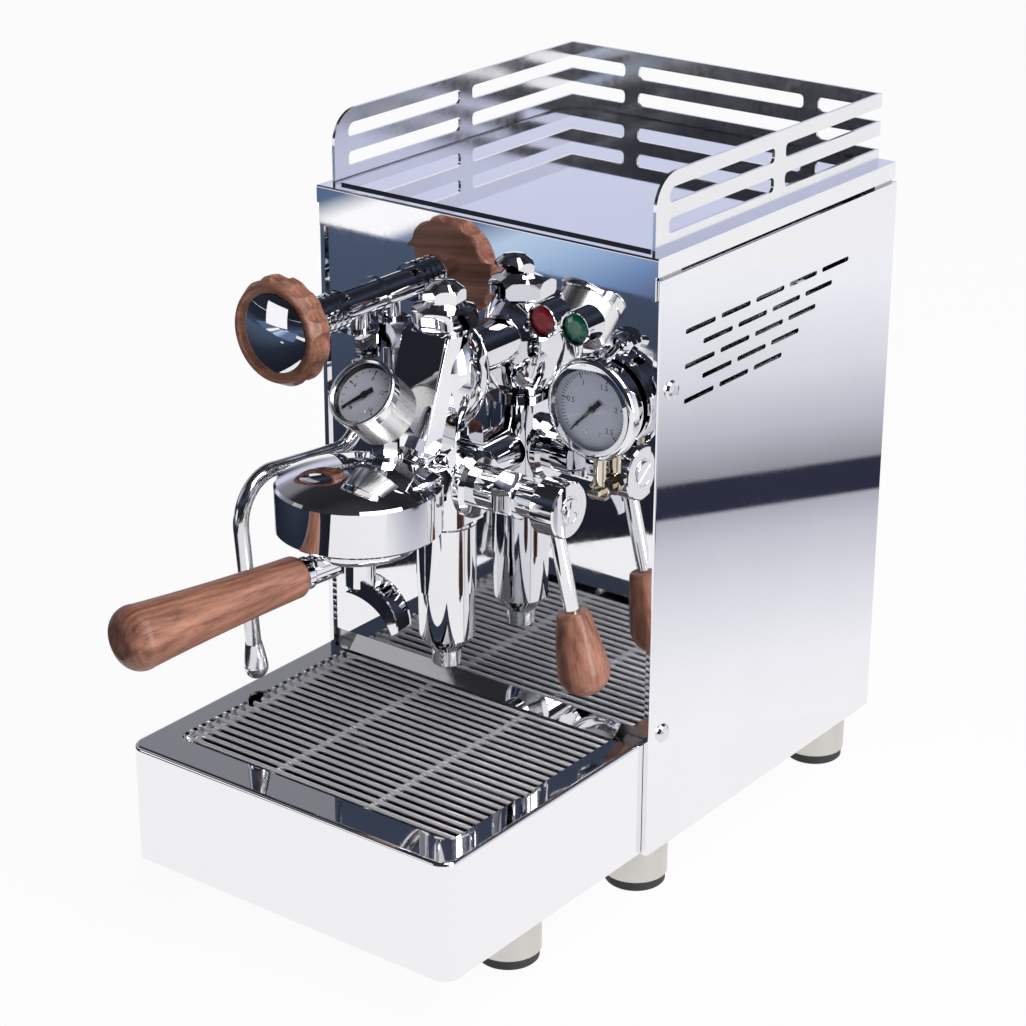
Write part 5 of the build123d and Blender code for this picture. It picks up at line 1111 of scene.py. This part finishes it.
# %% Cards on the table
EDGE_TURN = 31.46
ROOM_TURN = 180 + 34.25
navy = (0.028, 0.031, 0.055)
table_edge = [
    (0.000, (1.0, 1.0, 1.0)), (0.100, (0.95, 0.95, 0.98)), (0.210, (0.80, 0.80, 0.85)),
    (0.316, (0.62, 0.62, 0.69)), (0.372, (0.46, 0.46, 0.53)), (0.379, navy), (0.444, navy),
    (0.451, (0.32, 0.32, 0.36)), (0.547, (0.55, 0.55, 0.62)), (0.684, (0.77, 0.77, 0.83)),
    (0.926, (0.96, 0.96, 1.0)),
]
dark_table = [
    (0.000, (0.012, 0.014, 0.022)), (0.250, (0.022, 0.028, 0.045)), (0.430, (0.050, 0.066, 0.105)),
    (0.620, (0.066, 0.090, 0.145)), (1.000, (0.075, 0.105, 0.17)),
]
far_room = [(0.0, (0.055, 0.075, 0.12)), (0.08, (0.02, 0.024, 0.04)), (1.0, (0.012, 0.014, 0.022))]
edge_place = table_place(EDGE_TURN, along=0.775, across=0.50, height=0.002)
room_place = table_place(ROOM_TURN, along=0.982, across=0.165, height=0.003)
front_place = table_place(ROOM_TURN, along=0.982, across=1.465, height=0.003)
far_place = table_place(ROOM_TURN, along=8.03, across=0.2, height=0.0025)
card("card_table_edge", edge_place, EDGE_TURN, (0.475, 1.1), table_edge)
card("card_dark_room", room_place, ROOM_TURN, (0.55, 0.685), dark_table)
card("card_dark_front", front_place, ROOM_TURN, (0.55, 0.435), dark_table)
card("card_far_room", far_place, ROOM_TURN, (6.5, 9.0), far_room)

# %% [markdown]
# In the room lies a pale strip, lit by a window, which only the band of the top cover finds. A small soft
# spot and the window itself put white glints on the polished steel.

# %% Cards in the room
pale_strip = [
    (0.430, (0.10, 0.155, 0.27)), (0.474, (1.1, 1.1, 1.1)), (0.538, (1.1, 1.1, 1.1)),
    (0.556, (0.24, 0.30, 0.44)), (0.578, (0.14, 0.19, 0.32)), (0.632, (0.52, 0.66, 0.83)),
    (0.680, (0.42, 0.57, 0.78)), (0.760, (0.19, 0.30, 0.52)), (0.800, (0.13, 0.19, 0.34)),
]
soft_edge = [
    (0.0, (0.02, 0.025, 0.04)), (0.35, (1.0, 1.0, 1.03)),
    (0.6, (1.0, 1.0, 1.03)), (1.0, (0.02, 0.025, 0.04)),
]
white = [(0.0, (1.1, 1.1, 1.12)), (1.0, (1.1, 1.1, 1.12))]
strip_place = (-0.95, -1.30 + case_front, 0.004)
spot_place = (-0.478, -0.822 + case_front, 0.006)
window_place = (-1.035, -1.593 + case_front, 0.30)
card("card_far_glow", strip_place, 0, (0.65, 0.315), pale_strip)
card("card_spot", spot_place, 20, (0.045, 0.024), soft_edge)
card("card_window", window_place, -33, (0.40, 0.28), white, upright=True)

# %% [markdown]
# ## Soft lamps
# Two large softboxes, above and on the right, give the wood, rubber and dials their lit side and draw the
# long highlights on the round chrome. A faint one on the left keeps the shaded side from going black.

# %% Lamps


def soft_lamp(name, place, aim, size, power):
    """A softbox turned to a point; size is its width and height, and power is in watts."""
    light = bpy.data.lights.new(name, "AREA")
    light.shape = "RECTANGLE"
    light.size, light.size_y = size
    light.energy = power
    lamp = bpy.data.objects.new(name, light)
    scene.collection.objects.link(lamp)
    lamp.location = place
    lamp.rotation_euler = (Vector(aim) - Vector(place)).to_track_quat("-Z", "Y").to_euler()


soft_lamp("top_softbox", place=(0.9, -0.1, 1.8), aim=(0, 0, 0.2), size=(1.2, 1.2), power=18)
soft_lamp("left_softbox", place=(-1.7, -1.1, 1.3), aim=(0, 0, 0.25), size=(0.7, 1.2), power=1)
soft_lamp("right_softbox", place=(1.95, -0.25, 0.75), aim=(0, 0, 0.2), size=(0.7, 1.2), power=28)

# %% [markdown]
# ## The camera
# The photograph looks down at the machine's right front corner through a long lens. Its place and
# lens were solved from the straight edges of the case. The lens was found in pixels of the picture, and
# the width of the sensor turns that into millimetres.

# %% Camera
SENSOR_WIDTH = 36.0
PICTURE_WIDTH = 1026
LENS_PIXELS = 2736.1
azimuth = math.radians(37.1)
elevation = math.radians(22.43)
roll = math.radians(0.19)
backward = Vector((
    math.sin(azimuth) * math.cos(elevation),
    -math.cos(azimuth) * math.cos(elevation),
    math.sin(elevation),
))
bpy.ops.object.camera_add()
camera = bpy.context.object
camera.name = "photo_camera"
camera.data.sensor_width = SENSOR_WIDTH
camera.data.lens = SENSOR_WIDTH * LENS_PIXELS / PICTURE_WIDTH
camera.data.clip_end = 60.0
camera.rotation_mode = "QUATERNION"
level_view = (-backward).to_track_quat("-Z", "Y")
camera.rotation_quaternion = level_view @ Matrix.Rotation(roll, 3, "Z").to_quaternion()
camera.location = (0.9331, -1.2033 + case_front, 0.8562)
scene.camera = camera
print("lens", round(camera.data.lens, 2), "mm")

# %% [markdown]
# ## The size at the close
# The size of the dressed machine's box is printed. The dressed machine has to stay inside the
# box of its solids.

# %% Sizes
low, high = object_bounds()
print("dressed box", [round(v, 3) for v in high - low])
